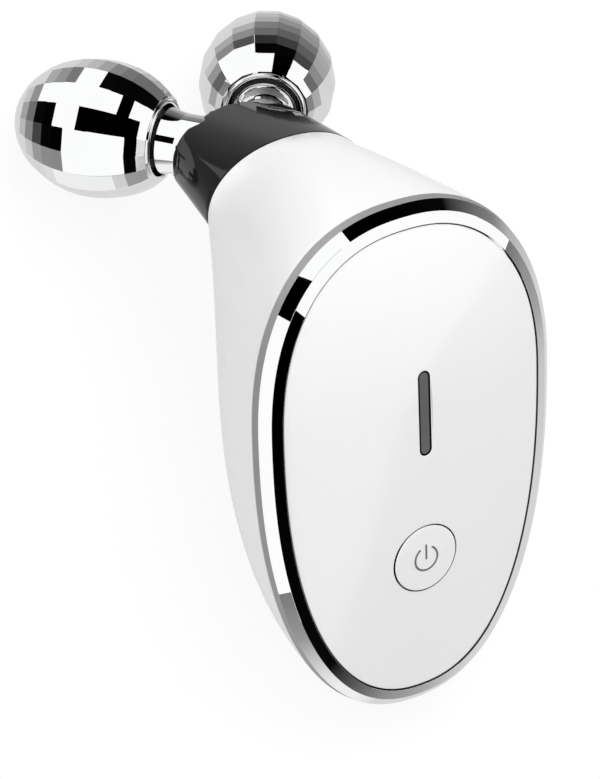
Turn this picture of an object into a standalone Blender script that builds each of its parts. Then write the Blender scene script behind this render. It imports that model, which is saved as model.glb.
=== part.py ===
"""Microcurrent face massager: a palm-sized horn with an egg-shaped face and two faceted rollers in a V.

Everything is modelled in the handle's own frame: x runs across the face, y along it towards its wide
end and z out of it, with the origin at the face's widest line. The empty rest_pose then lays the
massager down the way it rests, on both rollers and its tail, with +Z up and the face towards -Y.
"""

import math

import bmesh
import bpy
import numpy as np
from mathutils import Matrix, Vector

MM = 0.001

# Clearances
touch_gap = 0.3 * MM  # between pieces that seat on each other
seam_gap = 0.2 * MM  # the fine lines that show between two mouldings
press_gap = 0.05 * MM  # round a pressed pin
running_gap = 0.08 * MM  # between an axle and the bush that turns on it
overrun = 6.0 * MM  # how far a cutter passes the surface that it cuts
short_overrun = 1.0 * MM  # the same where another wall is near

# Face outline, an egg with its wide end up
face_half_width = 28.4 * MM
face_top_reach = 34.6 * MM
face_tail_reach = 55.5 * MM
face_power = 2.3
side_sag = 1.45 * MM  # how far the rim bows back at the sides
top_sag = 3.0 * MM  # and at the top

# Horn: its top line and back line between the rim and the neck, as y and z of their control points
neck_drop = 17.4 * MM  # from the top of the face to the back of the neck
neck_y = face_top_reach - neck_drop
neck_top = (17.6 * MM, -33.5 * MM)  # y from neck_y, as in the next four
neck_back = (0.0 * MM, -34.6 * MM)
top_line_out = (19.2 * MM, -12.0 * MM)
top_line_in = (21.0 * MM, -24.0 * MM)
back_line_in = (-41.8 * MM, -33.4 * MM)
back_line_out = (4.6 * MM, -24.9 * MM)  # y from the tail of the face
belly_draw_in = 1.3 * MM  # from the face's half width
throat_half_width = 16.1 * MM
neck_half_width = 15.5 * MM
rim_widest_share = 0.616
neck_widest_share = 0.39
neck_power = 2.1
rim_blend_share = 0.35
shell_wall = 1.8 * MM

# Trim ring, as insets from the outline and heights over the rim
ring_wall_height = 1.5 * MM
ring_wall_draft = 0.3 * MM
ring_ridge_inset = 1.85 * MM
ring_ridge_height = 2.9 * MM
ring_inner_inset = 3.6 * MM
ring_inner_height = 3.4 * MM
ring_ledge_width = 1.3 * MM
ring_ledge_height = 1.2 * MM
ring_ledge_thickness = 0.9 * MM
ring_skirt_thickness = 1.0 * MM
ring_skirt_depth = 2.0 * MM
ring_skirt_draft = 0.75 * MM  # it leans in with the horn's wall

# Face plate
plate_line_gap = 0.25 * MM
plate_edge_height = 3.25 * MM
plate_crown = 2.6 * MM
plate_thickness = 1.75 * MM
plate_front_shares = (1.0, 0.93, 0.8, 0.6, 0.35)
plate_back_shares = (1.0, 0.7, 0.35)

# Indicator
lens_y = 0.1 * MM
lens_length = 15.0 * MM
lens_width = 2.1 * MM
lens_slot_gap = 0.12 * MM
lens_flange = 0.9 * MM
lens_flange_thickness = 0.8 * MM
led_pitch = 4.6 * MM
led_size = (1.0 * MM, 1.8 * MM, 0.7 * MM)
led_count = 3

# Power button
button_y = -26.8 * MM
button_radius = 5.95 * MM
button_line_gap = 0.25 * MM
button_proud = 0.45 * MM
button_edge_round = 0.5 * MM
button_flange = 1.0 * MM
button_flange_thickness = 0.8 * MM
button_pocket_depth = 1.3 * MM  # of the plate left over the flange
button_travel = 0.5 * MM
button_stub_radius = 2.0 * MM
button_stub_length = 0.7 * MM
plunger_radius = 1.6 * MM
plunger_sink = 0.9 * MM  # how deep it sits in the switch
switch_side = 6.2 * MM
switch_height = 3.4 * MM

# Main board and what it carries
board_inset = 7.5 * MM
board_front_z = -2.6 * MM
board_thickness = 1.2 * MM
board_tail_margin = 8.5 * MM  # from the tail of the face
board_tail_y = board_tail_margin - face_tail_reach
screw_hole_radius = 1.25 * MM
screw_wide_share = 0.546  # of the face's half width
screw_tail_shares = (0.458, 0.5586)  # of the face's half width and its tail reach
screw_wide_y = 8.0 * MM
screw_wide_place = (screw_wide_share * face_half_width, screw_wide_y)
screw_tail_place = (screw_tail_shares[0] * face_half_width, -screw_tail_shares[1] * face_tail_reach)
screw_head_radius = 1.9 * MM
screw_head_height = 1.1 * MM
screw_shank_radius = 0.95 * MM
screw_length = 8.4 * MM
chip_place = (8.6 * MM, -13.0 * MM)
chip_size = (7.0 * MM, 7.0 * MM, 1.0 * MM)
coil_place = (-9.6 * MM, -13.0 * MM)
coil_radius = 3.4 * MM
coil_waist_radius = 2.6 * MM
coil_height = 3.0 * MM
coil_cheek = 0.7 * MM

# Battery and its tray
cell_shares = (0.69, 0.5946)  # of the face's half width and its tail reach
cell_height = 6.6 * MM
cell_size = (cell_shares[0] * face_half_width, cell_shares[1] * face_tail_reach, cell_height)
cell_y = -7.4 * MM
cell_edge = 1.2 * MM
tray_wall = 1.2 * MM
tray_ear_thickness = 1.6 * MM
tray_ear_radius = 2.7 * MM
tray_notch_width = 10.0 * MM
tray_notch_depth = 4.6 * MM
pillar_radius = 2.6 * MM
pillar_hole_radius = 1.1 * MM
pillar_hole_depth = 6.5 * MM

# Charging socket in the tail
socket_width = 8.9 * MM
socket_height = 3.2 * MM
socket_length = 7.3 * MM
socket_wall = 0.3 * MM
socket_tongue = (6.6 * MM, 0.7 * MM)
socket_tongue_length = 5.2 * MM
socket_drop = 0.15 * MM  # under the board
socket_hole_gap = 0.25 * MM
land_width = 13.4 * MM
land_height = 7.0 * MM
land_margin = 2.4 * MM  # from the tail of the face
land_y = land_margin - face_tail_reach
pad_width = 16.0 * MM
pad_height = 6.4 * MM
pad_thickness = 2.6 * MM

# Head: the V of the two stems
apex_rise = 10.65 * MM  # from the back of the neck
apex_y = neck_y + apex_rise
apex_z = -42.6 * MM
stem_splay = math.radians(34.6)
stem_lift = math.radians(2.1)
head_end_top = (16.4 * MM, -54.0 * MM)  # y from neck_y, as in the next
head_end_back = (4.0 * MM, -52.8 * MM)
head_end_half_width = 12.3 * MM
head_end_widest_share = 0.52
head_end_power = 2.7
head_ridge_z = -53.2 * MM
head_ridge_angle = math.radians(17.0)
head_wall = 1.7 * MM
head_overshoot_share = 0.3
spigot_wall = 1.3 * MM
spigot_start_share = 0.91
spigot_bury_share = 0.12
throat_start_share = 0.76  # where the forms for what lies round the neck begin
lug_width = 5.4 * MM
lug_inner_x = 7.2 * MM
lug_outer_x = 20.0 * MM
lug_rise = 8.8 * MM  # from the back of the neck
lug_y = neck_y + lug_rise
lug_screw_x = 9.9 * MM
shell_lug_front_z = -25.4 * MM
shell_lug_thickness = 2.4 * MM
head_lug_thickness = 4.0 * MM

# Stems, as distances along each axis from the apex of the V
seat_reach = 8.6 * MM
cavity_reach = 7.0 * MM
rim_reach = 17.25 * MM
stem_radius = 5.15 * MM
stem_shoulder_radius = 5.65 * MM
stem_shoulder_height = 1.3 * MM
stem_flare_height = 1.5 * MM
stem_edge = 0.25 * MM
stem_seat_gap = 0.15 * MM
stem_bore_depth = 4.6 * MM
stud_radius = 1.5 * MM
stud_hole_radius = 1.8 * MM
terminal_radius = 2.8 * MM
terminal_thickness = 0.5 * MM
nut_radius = 2.75 * MM
nut_height = 1.6 * MM
nut_sides = 6
stud_end_reach = 3.9 * MM

# Rollers
ball_half_length = 15.09 * MM
ball_radius = 11.8 * MM
ball_mouth_share = 0.7985  # of its half length, from its middle to its open end
ball_rim_radius = ball_radius * math.sqrt(1 - ball_mouth_share**2)
ball_reach = rim_reach + ball_mouth_share * ball_half_length
facets_around = 18
facet_bands = 16
facet_turn = math.radians(1.8)
lip_width = 0.35 * MM
lip_depth = 0.3 * MM
mouth_radius = ball_rim_radius - lip_width - lip_depth
mouth_depth = 2.0 * MM
pocket_step = 0.55 * MM
pocket_radius = mouth_radius - pocket_step
pocket_end_share = 0.59  # of its half length, from its middle
pocket_end_reach = ball_reach + pocket_end_share * ball_half_length
hub_gap = 0.15 * MM
hub_end_gap = 0.75 * MM
hub_bore_radius = 3.25 * MM
hub_recess_radius = 3.8 * MM
hub_recess_depth = 2.2 * MM
bush_length = 5.2 * MM
bush_flange_radius = 3.5 * MM
bush_flange_thickness = 1.5 * MM
axle_radius = 2.0 * MM
axle_tail = 1.0 * MM
groove_depth = 0.4 * MM
clip_thickness = 0.7 * MM
clip_radius = 3.0 * MM
clip_mouth = math.radians(70.0)

# Leads inside the handle
lead_radius = 0.55 * MM
lead_steps = 3  # along each stretch of a route
stem_lead_route = (
    (5.4 * MM, 0.2 * MM, -4.1 * MM),
    (5.4 * MM, 1.2 * MM, -9.0 * MM),
    (5.6 * MM, 4.8 * MM, -22.0 * MM),
    (5.4 * MM, 8.2 * MM, -36.0 * MM),
    (7.6 * MM, 10.0 * MM, -42.4 * MM),
    (7.8 * MM, 10.8 * MM, -44.7 * MM),
)  # with y from neck_y, and from there to the rim of its ring terminal
cell_lead_route = (
    (3.0 * MM, 5.5 * MM, -4.1 * MM),
    (3.0 * MM, 5.6 * MM, -5.6 * MM),
    (3.0 * MM, 4.3 * MM, -7.2 * MM),
    (3.0 * MM, 1.8 * MM, -7.6 * MM),
    (3.0 * MM, 0.3 * MM, -7.6 * MM),
)  # with y from the end of the cell

# Fineness of the meshes
around = 44
body_rows = 10
lining_rows = 4  # inside the horn, where it doesn't show
head_rows = 3
turned_steps = 24
small_steps = 14
screw_steps = 10
neck_rows = 2
slot_steps = 6  # round each end of a slot
ear_steps = 6
edge_steps = 2
flare_steps = 3
profile_samples = 400
weld_distance = 0.0002 * MM
sliver_size = 0.01 * MM
smooth_angle = math.radians(32.0)

# Looks: colour, roughness, metallic
looks = {
    "white_gloss": ((0.88, 0.88, 0.89), 0.16, 0.0),
    "plate_gloss": ((0.90, 0.90, 0.90), 0.10, 0.0),
    "charcoal_gloss": ((0.045, 0.045, 0.05), 0.14, 0.0),
    "chrome": ((0.84, 0.84, 0.85), 0.04, 1.0),
    "lens_smoke": ((0.14, 0.14, 0.15), 0.25, 0.0),
    "board_green": ((0.03, 0.20, 0.09), 0.45, 0.0),
    "chip_black": ((0.02, 0.02, 0.02), 0.50, 0.0),
    "ferrite": ((0.10, 0.10, 0.11), 0.60, 0.0),
    "led_white": ((0.85, 0.83, 0.70), 0.30, 0.0),
    "steel": ((0.55, 0.55, 0.56), 0.30, 1.0),
    "brass": ((0.75, 0.58, 0.28), 0.28, 1.0),
    "tray_black": ((0.05, 0.05, 0.05), 0.55, 0.0),
    "cell_silver": ((0.62, 0.63, 0.66), 0.35, 0.6),
    "red_lead": ((0.55, 0.03, 0.02), 0.45, 0.0),
    "black_lead": ((0.02, 0.02, 0.02), 0.45, 0.0),
    "hub_grey": ((0.25, 0.25, 0.26), 0.45, 0.0),
}


def clear_scene():
    for old in list(bpy.data.objects):
        bpy.data.objects.remove(old)


def look(name):
    found = bpy.data.materials.get(name)
    if found:
        return found
    colour, roughness, metallic = looks[name]
    made = bpy.data.materials.new(name)
    made.use_nodes = True
    shader = made.node_tree.nodes["Principled BSDF"]
    shader.inputs["Base Color"].default_value = (*colour, 1.0)
    shader.inputs["Roughness"].default_value = roughness
    shader.inputs["Metallic"].default_value = metallic
    return made


def add_empty(name, parent=None, place=None):
    empty = bpy.data.objects.new(name, None)
    bpy.context.scene.collection.objects.link(empty)
    empty.parent = parent
    if place is not None:
        empty.matrix_basis = place
    return empty


def add_mesh(name, bm, parent, material):
    """Closes the bmesh into an object of this name under its parent."""
    bmesh.ops.recalc_face_normals(bm, faces=bm.faces)
    mesh = bpy.data.meshes.new(name)
    bm.to_mesh(mesh)
    bm.free()
    mesh.materials.append(look(material))
    mesh.shade_smooth()
    mesh.set_sharp_from_angle(angle=smooth_angle)
    piece = bpy.data.objects.new(name, mesh)
    bpy.context.scene.collection.objects.link(piece)
    piece.parent = parent
    return piece


def helper(piece):
    """Marks an object as a cutter or a form that other objects use."""
    piece.hide_render = True
    piece.display_type = "WIRE"
    return piece


def combine(piece, other, operation):
    """Adds one shape to another, cuts it out or keeps what they share.

    The exact solver leaves gaps in the two many-walled mouldings at some sizes.
    """
    step = piece.modifiers.new(f"{operation.lower()} {other.name}", "BOOLEAN")
    step.operation = operation
    step.solver = "MANIFOLD" if piece.name in ("body_shell", "head_collar") else "EXACT"
    step.object = helper(other)
    return piece


def cut(piece, cutter):
    return combine(piece, cutter, "DIFFERENCE")


def join(piece, other):
    return combine(piece, other, "UNION")


def merge_slivers(piece):
    """Merges the corners that lie almost on each other where cuts cross."""
    step = piece.modifiers.new("merge slivers", "WELD")
    step.merge_threshold = sliver_size
    return piece


def loft(name, rings, parent, material, looped=False):
    """Skins rings of points. A ring of one point closes an end, and looped joins the last ring to the first."""
    bm = bmesh.new()
    rows = [[bm.verts.new(point) for point in ring] for ring in rings]
    pairs = list(zip(rows, rows[1:]))
    if looped:
        pairs.append((rows[-1], rows[0]))
    for low, high in pairs:
        count = max(len(low), len(high))
        for i in range(count):
            j = (i + 1) % count
            near, far = (low[i % len(low)], low[j % len(low)]), (high[j % len(high)], high[i % len(high)])
            corners = [*near, *far]
            bm.faces.new(list(dict.fromkeys(corners)))
    if not looped:
        for row in (rows[0], rows[-1]):
            if len(row) > 1:
                bm.faces.new(row)
    return add_mesh(name, bm, parent, material)


def turned(name, profile, parent, material, steps=turned_steps, sweep=math.tau, turn=0.0):
    """Spins a closed profile of radius and height points about the local z axis."""
    bm = bmesh.new()
    start = Matrix.Rotation(turn, 4, "Z")
    row = [bm.verts.new(start @ Vector((radius, 0.0, height))) for radius, height in profile]
    edges = [bm.edges.new((a, b)) for a, b in zip(row, row[1:] + row[:1])]
    full = sweep == math.tau
    up = Vector((0.0, 0.0, 1.0))
    made = bmesh.ops.spin(
        bm, geom=row + edges, cent=Vector(), axis=up, angle=sweep, steps=steps, use_merge=full
    )
    if not full:
        bm.faces.new(row)
        bm.faces.new([item for item in made["geom_last"] if isinstance(item, bmesh.types.BMVert)])
    bmesh.ops.remove_doubles(bm, verts=bm.verts, dist=weld_distance)
    bmesh.ops.dissolve_degenerate(bm, edges=bm.edges, dist=weld_distance)
    return add_mesh(name, bm, parent, material)


def prism(name, outline, low, high, parent, material):
    """Extrudes an outline of x and y points from z = low to z = high."""
    rings = [[Vector((x, y, z)) for x, y in outline] for z in (low, high)]
    return loft(name, rings, parent, material)


def cylinder(radius, low, high):
    """The profile that turns into a plain solid cylinder."""
    return [(0.0, low), (radius, low), (radius, high), (0.0, high)]


def stadium(length, width, centre=(0.0, 0.0), steps=slot_steps):
    """A slot outline along y, with round ends."""
    radius = width / 2
    reach = length / 2 - radius
    points = []
    for end, start in ((1, 0.0), (-1, math.pi)):
        for i in range(steps + 1):
            angle = start + math.pi * i / steps
            x, y = radius * math.cos(angle), end * reach + radius * math.sin(angle)
            points.append((centre[0] + x, centre[1] + y))
    return points


def rounded_box(name, size, centre, edge, parent, material):
    """A box with all its edges bevelled, or a plain one where edge is zero."""
    bm = bmesh.new()
    bmesh.ops.create_cube(bm, size=1, matrix=Matrix.Translation(centre) @ Matrix.Diagonal((*size, 1)))
    if edge:
        bmesh.ops.bevel(bm, geom=bm.edges[:], offset=edge, segments=2, profile=0.5, affect="EDGES")
    return add_mesh(name, bm, parent, material)


def egg_point(turn, half_width, top_reach, tail_reach, power):
    """A point of the egg: its x, and its y as a signed reach from the widest line."""
    c, s = math.cos(turn), math.sin(turn)
    reach = top_reach if s >= 0 else tail_reach
    x = half_width * math.copysign(abs(c) ** (2 / power), c)
    y = reach * math.copysign(abs(s) ** (2 / power), s)
    return x, y


def turns(count=around):
    return [math.tau * i / count for i in range(count)]


def face_outline(inset, share=1.0, count=around):
    """The face's egg, drawn in by inset and then scaled towards the centre by share."""
    points = []
    half_width, top, tail = face_half_width - inset, face_top_reach - inset, face_tail_reach - inset
    for turn in turns(count):
        x, y = egg_point(turn, half_width, top, tail, face_power)
        points.append((x * share, y * share))
    return points


def rim_z(x, y):
    """The curved surface that the rim lies on."""
    return -side_sag * (x / face_half_width) ** 2 - top_sag * (max(y, 0.0) / face_top_reach) ** 2


def bezier(points, share):
    """A point on a cubic curve through four points or numbers."""
    a, b, c, d = (np.asarray(p, float) for p in points)
    rest = 1 - share
    return a * rest**3 + 3 * b * share * rest**2 + 3 * c * share**2 * rest + d * share**3


def section(top, back, half_width, widest_share, power, inset):
    """An egg in the plane through the top and back points, square to the plane of symmetry."""
    top, back = np.asarray(top, float), np.asarray(back, float)
    along = (top - back) / np.linalg.norm(top - back)
    middle = back + (top - back) * widest_share
    up = np.linalg.norm(top - middle) - inset
    down = np.linalg.norm(middle - back) - inset
    points = []
    for turn in turns():
        x, reach = egg_point(turn, half_width - inset, up, down, power)
        y, z = middle + along * reach
        points.append(Vector((x, y, z)))
    return points


def from_neck(*places):
    """Points as y and z, from ones whose y is given from the back of the neck."""
    return [np.array((neck_y + y, z)) for y, z in places]


def horn_ring(share, inset=0.0):
    """The horn's section at a share of its way from the rim to the neck."""
    rim_top, rim_tail = (face_top_reach, -top_sag), (-face_tail_reach, 0.0)
    tail_out = (back_line_out[0] - face_tail_reach, back_line_out[1])
    top = bezier((rim_top, *from_neck(top_line_out, top_line_in, neck_top)), share)
    back = bezier((rim_tail, tail_out, *from_neck(back_line_in, neck_back)), share)
    belly_half_width = face_half_width - belly_draw_in
    half_widths = (face_half_width, belly_half_width, throat_half_width, neck_half_width)
    half_width = float(bezier(half_widths, share))
    widest = rim_widest_share + (neck_widest_share - rim_widest_share) * share
    power = face_power + (neck_power - face_power) * share
    ring = section(top, back, half_width, widest, power, inset)
    hold = max(0.0, 1 - share / rim_blend_share)
    if hold:
        chord = top_sag / (face_top_reach + face_tail_reach)
        outline = face_outline(inset)
        for point, (x, y) in zip(ring, outline):
            chord_z = -chord * (point.y + face_tail_reach)
            point.z += hold * (rim_z(x, y) - chord_z)
            if share == 0.0:
                point.x, point.y = x, y
    return ring


def head_ring(share, inset=0.0):
    """The head's section at a share of its way from the neck to its end."""
    near_top, near_back, far_top, far_back = from_neck(neck_top, neck_back, head_end_top, head_end_back)
    top = near_top * (1 - share) + far_top * share
    back = near_back * (1 - share) + far_back * share
    half_width = neck_half_width + (head_end_half_width - neck_half_width) * share
    widest = neck_widest_share + (head_end_widest_share - neck_widest_share) * min(share, 1.0)
    power = neck_power + (head_end_power - neck_power) * min(share, 1.0)
    return section(top, back, half_width, widest, power, inset)


def horn_rings(inset, first=0.0, last=1.0, rows=body_rows):
    return [horn_ring(first + (last - first) * i / rows, inset) for i in range(rows + 1)]


def beyond_rim(inset):
    """A ring ahead of the rim, so that a cutter passes it."""
    return [point + Vector((0.0, 0.0, overrun)) for point in horn_ring(0.0, inset)]


def beyond_neck(inset):
    """A ring behind the neck, so that a form passes it."""
    return head_ring(head_overshoot_share, inset)


def throat_rings(inset):
    """From inside the throat to the neck."""
    return horn_rings(inset, throat_start_share, 1.0, neck_rows)


def spigot_rings(inset):
    """Along the stretch of the neck that the head's spigot fills."""
    return horn_rings(inset, spigot_start_share, 1.0, neck_rows)


def lining_rings(inset):
    """From the rim to the neck, with the spigot's own rows where it fits."""
    return horn_rings(inset, 0.0, spigot_start_share, lining_rows)[:-1] + spigot_rings(inset)


def stem_direction(side):
    """Along a stem from the apex of the V to the roller's tip, for side -1 (left) or +1 (right)."""
    flat = math.cos(stem_lift)
    return Vector((side * math.sin(stem_splay) * flat, math.sin(stem_lift), -math.cos(stem_splay) * flat))


def stem_frame(side):
    """The apex, with its z axis along the stem and its x axis square to it across the handle."""
    along = stem_direction(side)
    across = Vector((0.0, 1.0, 0.0)).cross(along).normalized() * side
    third = along.cross(across)
    turn = Matrix((across, third, along)).transposed().to_4x4()
    return Matrix.Translation(Vector((0.0, apex_y, apex_z))) @ turn


def roof_cutter(name, ridge_z, slope, parent):
    """Everything behind two planes that meet in a ridge at x = 0 and fall away to both sides."""
    width = face_half_width
    far = ridge_z - width
    side_z = ridge_z + width * math.tan(slope)
    outline = [(-width, side_z), (0.0, ridge_z), (width, side_z), (width, far), (-width, far)]
    rings = [[Vector((x, y, z)) for x, z in outline] for y in (-width, 2 * width)]
    return helper(loft(name, rings, parent, "charcoal_gloss"))


def screw_places():
    """The four board screws, wide end first."""
    places = []
    for x, y in (screw_wide_place, screw_tail_place):
        places += [(-x, y), (x, y)]
    return places


def disc_outline(radius, centre, steps=small_steps):
    return [(centre[0] + radius * math.cos(t), centre[1] + radius * math.sin(t)) for t in turns(steps)]


def plate_z(x, y, inset):
    """The domed front of the face plate."""
    reach = face_top_reach if y >= 0 else face_tail_reach
    across = abs(x / (face_half_width - inset)) ** face_power
    along = abs(y / (reach - inset)) ** face_power
    spread = (across + along) ** (2 / face_power)
    return rim_z(x, y) + plate_edge_height + plate_crown * (1 - spread)


def plate_inset():
    return ring_inner_inset + plate_line_gap


def front_z(x, y):
    return plate_z(x, y, plate_inset())


def build_body_shell(parent):
    """The white one-piece horn: a wall between two lofts, with screw pillars and the socket's flat land."""
    rings = horn_rings(0.0) + lining_rings(shell_wall)[::-1]
    shell = loft("body_shell", rings, parent, "white_gloss", looped=True)
    form_inset = shell_wall / 2
    form_rings = [beyond_rim(form_inset), *lining_rings(form_inset), beyond_neck(form_inset)]
    form = helper(loft("shell_form", form_rings, parent, "white_gloss"))
    pillar_top = tray_ear_z() - touch_gap
    for number, place in enumerate(screw_places(), 1):
        outline = disc_outline(pillar_radius, place)
        pillar = prism(f"pillar_{number}", outline, neck_back[1], pillar_top, parent, "white_gloss")
        join(shell, combine(pillar, form, "INTERSECT"))
    for side in (-1, 1):
        size = (lug_outer_x - lug_inner_x, lug_width, shell_lug_thickness)
        middle = (side * (lug_outer_x + lug_inner_x) / 2, lug_y, shell_lug_front_z - shell_lug_thickness / 2)
        lug = rounded_box(f"shell_lug_{side}", size, middle, 0.0, parent, "white_gloss")
        join(shell, combine(lug, form, "INTERSECT"))
    pad_size = (pad_width, pad_thickness, pad_height)
    pad_middle = (0.0, land_y + pad_thickness / 2 - seam_gap, socket_z())
    pad = rounded_box("socket_pad", pad_size, pad_middle, 0.0, parent, "white_gloss")
    join(shell, combine(pad, form, "INTERSECT"))
    hole_foot, hole_mouth = pillar_top - pillar_hole_depth, pillar_top + short_overrun
    for number, place in enumerate(screw_places(), 1):
        hole = disc_outline(pillar_hole_radius, place, screw_steps)
        cut(shell, prism(f"pillar_hole_{number}", hole, hole_foot, hole_mouth, parent, "steel"))
    lug_back = shell_lug_front_z - shell_lug_thickness
    for side in (-1, 1):
        hole = disc_outline(screw_hole_radius, (side * lug_screw_x, lug_y), screw_steps)
        low, high = lug_back - short_overrun, shell_lug_front_z + short_overrun
        cut(shell, prism(f"lug_hole_{side}", hole, low, high, parent, "steel"))
    outside, inside = land_y - overrun, land_y + overrun
    cut(shell, tail_prism("land_cutter", land_width, land_height, outside, land_y, parent, "steel"))
    slot = (socket_width + 2 * socket_hole_gap, socket_height + 2 * socket_hole_gap)
    cut(shell, tail_prism("slot_cutter", *slot, outside, inside, parent, "steel"))
    return shell


def socket_z():
    return board_front_z - board_thickness - socket_drop - socket_height / 2


def tray_ear_z():
    """The back of the tray's ears, which the pillars carry."""
    return board_front_z - board_thickness - touch_gap - tray_ear_thickness


def tail_prism(name, width, height, low_y, high_y, parent, material):
    """A round-ended bar along y through the tail, centred on the socket."""
    rings = []
    for y in (low_y, high_y):
        outline = stadium(width, height)
        rings.append([Vector((across, y, socket_z() + up)) for up, across in outline])
    return loft(name, rings, parent, material)


def build_trim_ring(parent):
    """The chrome bezel: a section of two facets, a ledge for the plate and a skirt inside the shell."""
    skirt_outer = shell_wall + touch_gap
    skirt_inner = skirt_outer + ring_skirt_thickness
    ledge_inner = ring_inner_inset + ring_ledge_width
    ledge_back = ring_ledge_height - ring_ledge_thickness
    profile = (
        (0.0, seam_gap),
        (ring_wall_draft, ring_wall_height),
        (ring_ridge_inset, ring_ridge_height),
        (ring_inner_inset, ring_inner_height),
        (ring_inner_inset, ring_ledge_height),
        (ledge_inner, ring_ledge_height),
        (ledge_inner, ledge_back),
        (skirt_inner, ledge_back),
        (skirt_inner + ring_skirt_draft, -ring_skirt_depth),
        (skirt_outer + ring_skirt_draft, -ring_skirt_depth),
        (skirt_outer, seam_gap),
    )
    rings = []
    for inset, height in profile:
        rings.append([Vector((x, y, rim_z(x, y) + height)) for x, y in face_outline(inset)])
    return loft("trim_ring", rings, parent, "chrome", looped=True)


def build_face_plate(parent):
    """The domed white plate, with the button's hole and the lens's slot."""
    inset = plate_inset()
    front, back = [], []
    for share in plate_front_shares:
        front.append([Vector((x, y, front_z(x, y))) for x, y in face_outline(inset, share)])
    for share in plate_back_shares:
        outline = face_outline(inset, share)
        back.append([Vector((x, y, front_z(x, y) - plate_thickness)) for x, y in outline])
    centre = Vector((0.0, 0.0, front_z(0.0, 0.0)))
    rings = [[centre], *front[::-1], *back, [centre - Vector((0.0, 0.0, plate_thickness))]]
    plate = loft("face_plate", rings, parent, "plate_gloss")
    middle = (0.0, button_y)
    front_here = front_z(*middle)
    low, high = front_here - plate_thickness - overrun, front_here + overrun
    hole = disc_outline(button_radius + button_line_gap, middle, turned_steps)
    cut(plate, prism("button_hole", hole, low, high, parent, "plate_gloss"))
    pocket = disc_outline(button_radius + button_flange + 2 * touch_gap, middle, turned_steps)
    pocket_top = front_here - button_pocket_depth
    cut(plate, prism("button_pocket", pocket, low, pocket_top, parent, "plate_gloss"))
    slot = stadium(lens_length + 2 * lens_slot_gap, lens_width + 2 * lens_slot_gap, (0.0, lens_y))
    cut(plate, prism("lens_slot", slot, low, high, parent, "plate_gloss"))
    return plate


def build_indicator_lens(parent):
    """The smoked light bar: flush with the plate, with a flange behind it and a foot over the lamps."""
    reach = lens_length / 2 + lens_flange
    side = lens_width / 2 + lens_flange
    lowest_front = min(front_z(side, lens_y + end * reach) for end in (-1, 1))
    flange_front = lowest_front - plate_thickness - touch_gap
    foot = board_front_z + touch_gap + led_size[2] + touch_gap
    bar = stadium(lens_length, lens_width, (0.0, lens_y))
    wide = stadium(lens_length + 2 * lens_flange, lens_width + 2 * lens_flange, (0.0, lens_y))
    levels = (
        (bar, foot),
        (bar, flange_front - lens_flange_thickness),
        (wide, flange_front - lens_flange_thickness),
        (wide, flange_front),
        (bar, flange_front),
    )
    rings = [[Vector((x, y, z)) for x, y in outline] for outline, z in levels]
    rings.append([Vector((x, y, front_z(x, y))) for x, y in bar])
    return loft("indicator_lens", rings, parent, "lens_smoke")


def build_button(button_axis):
    """The round cap, with its flange behind the plate, and the switch's plunger under it."""
    front = front_z(0.0, button_y)
    top = front + button_proud
    flange_top = front - button_pocket_depth - touch_gap
    flange_back = flange_top - button_flange_thickness
    stub_end = flange_back - button_stub_length
    profile = [(0.0, stub_end), (button_stub_radius, stub_end), (button_stub_radius, flange_back)]
    profile += [(button_radius + button_flange, flange_back), (button_radius + button_flange, flange_top)]
    profile += [(button_radius, flange_top), (button_radius, top - button_edge_round)]
    for i in range(1, edge_steps + 1):
        angle = math.pi / 2 * i / edge_steps
        drop = button_edge_round * (1 - math.sin(angle))
        draw_in = button_edge_round * (1 - math.cos(angle))
        profile.append((button_radius - draw_in, top - drop))
    profile.append((0.0, top))
    turned("power_button", profile, button_axis, "plate_gloss")
    plunger_top = stub_end - touch_gap
    plunger_foot = switch_top() - plunger_sink
    plunger = cylinder(plunger_radius, plunger_foot, plunger_top)
    turned("switch_plunger", plunger, button_axis, "chip_black", small_steps)


def switch_top():
    return board_front_z + touch_gap + switch_height


def build_tact_switch(parent):
    """The switch's square case, with the well that its plunger works in."""
    size = (switch_side, switch_side, switch_height)
    centre = (0.0, button_y, switch_top() - switch_height / 2)
    case = rounded_box("tact_switch", size, centre, 0.0, parent, "chip_black")
    well = disc_outline(plunger_radius + touch_gap, (0.0, button_y))
    floor = switch_top() - plunger_sink - button_travel - touch_gap
    return cut(case, prism("plunger_well", well, floor, switch_top() + overrun, parent, "chip_black"))


def build_main_board(parent):
    """The circuit board, an egg inside the rim, cut square at the tail for the socket."""
    back = board_front_z - board_thickness
    outline = face_outline(board_inset)
    board = prism("main_board", outline, back, board_front_z, parent, "board_green")
    tail = (2 * face_half_width, face_tail_reach + board_tail_y, board_thickness + 2 * short_overrun)
    tail_centre = (0.0, (board_tail_y - face_tail_reach) / 2, back + board_thickness / 2)
    cut(board, rounded_box("board_tail_cutter", tail, tail_centre, 0.0, parent, "steel"))
    for number, place in enumerate(screw_places(), 1):
        hole = disc_outline(screw_hole_radius, place, screw_steps)
        low, high = back - short_overrun, board_front_z + short_overrun
        cut(board, prism(f"board_hole_{number}", hole, low, high, parent, "steel"))
    return board


def build_screw(name, place, head_back, parent):
    """A pan-head screw along z, with its head in front."""
    profile = (
        (0.0, head_back - screw_length),
        (screw_shank_radius, head_back - screw_length + screw_shank_radius),
        (screw_shank_radius, head_back),
        (screw_head_radius, head_back),
        (screw_head_radius, head_back + screw_head_height / 2),
        (screw_shank_radius, head_back + screw_head_height),
        (0.0, head_back + screw_head_height),
    )
    piece = turned(name, profile, parent, "steel", screw_steps)
    piece.location = (*place, 0.0)
    return piece


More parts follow.
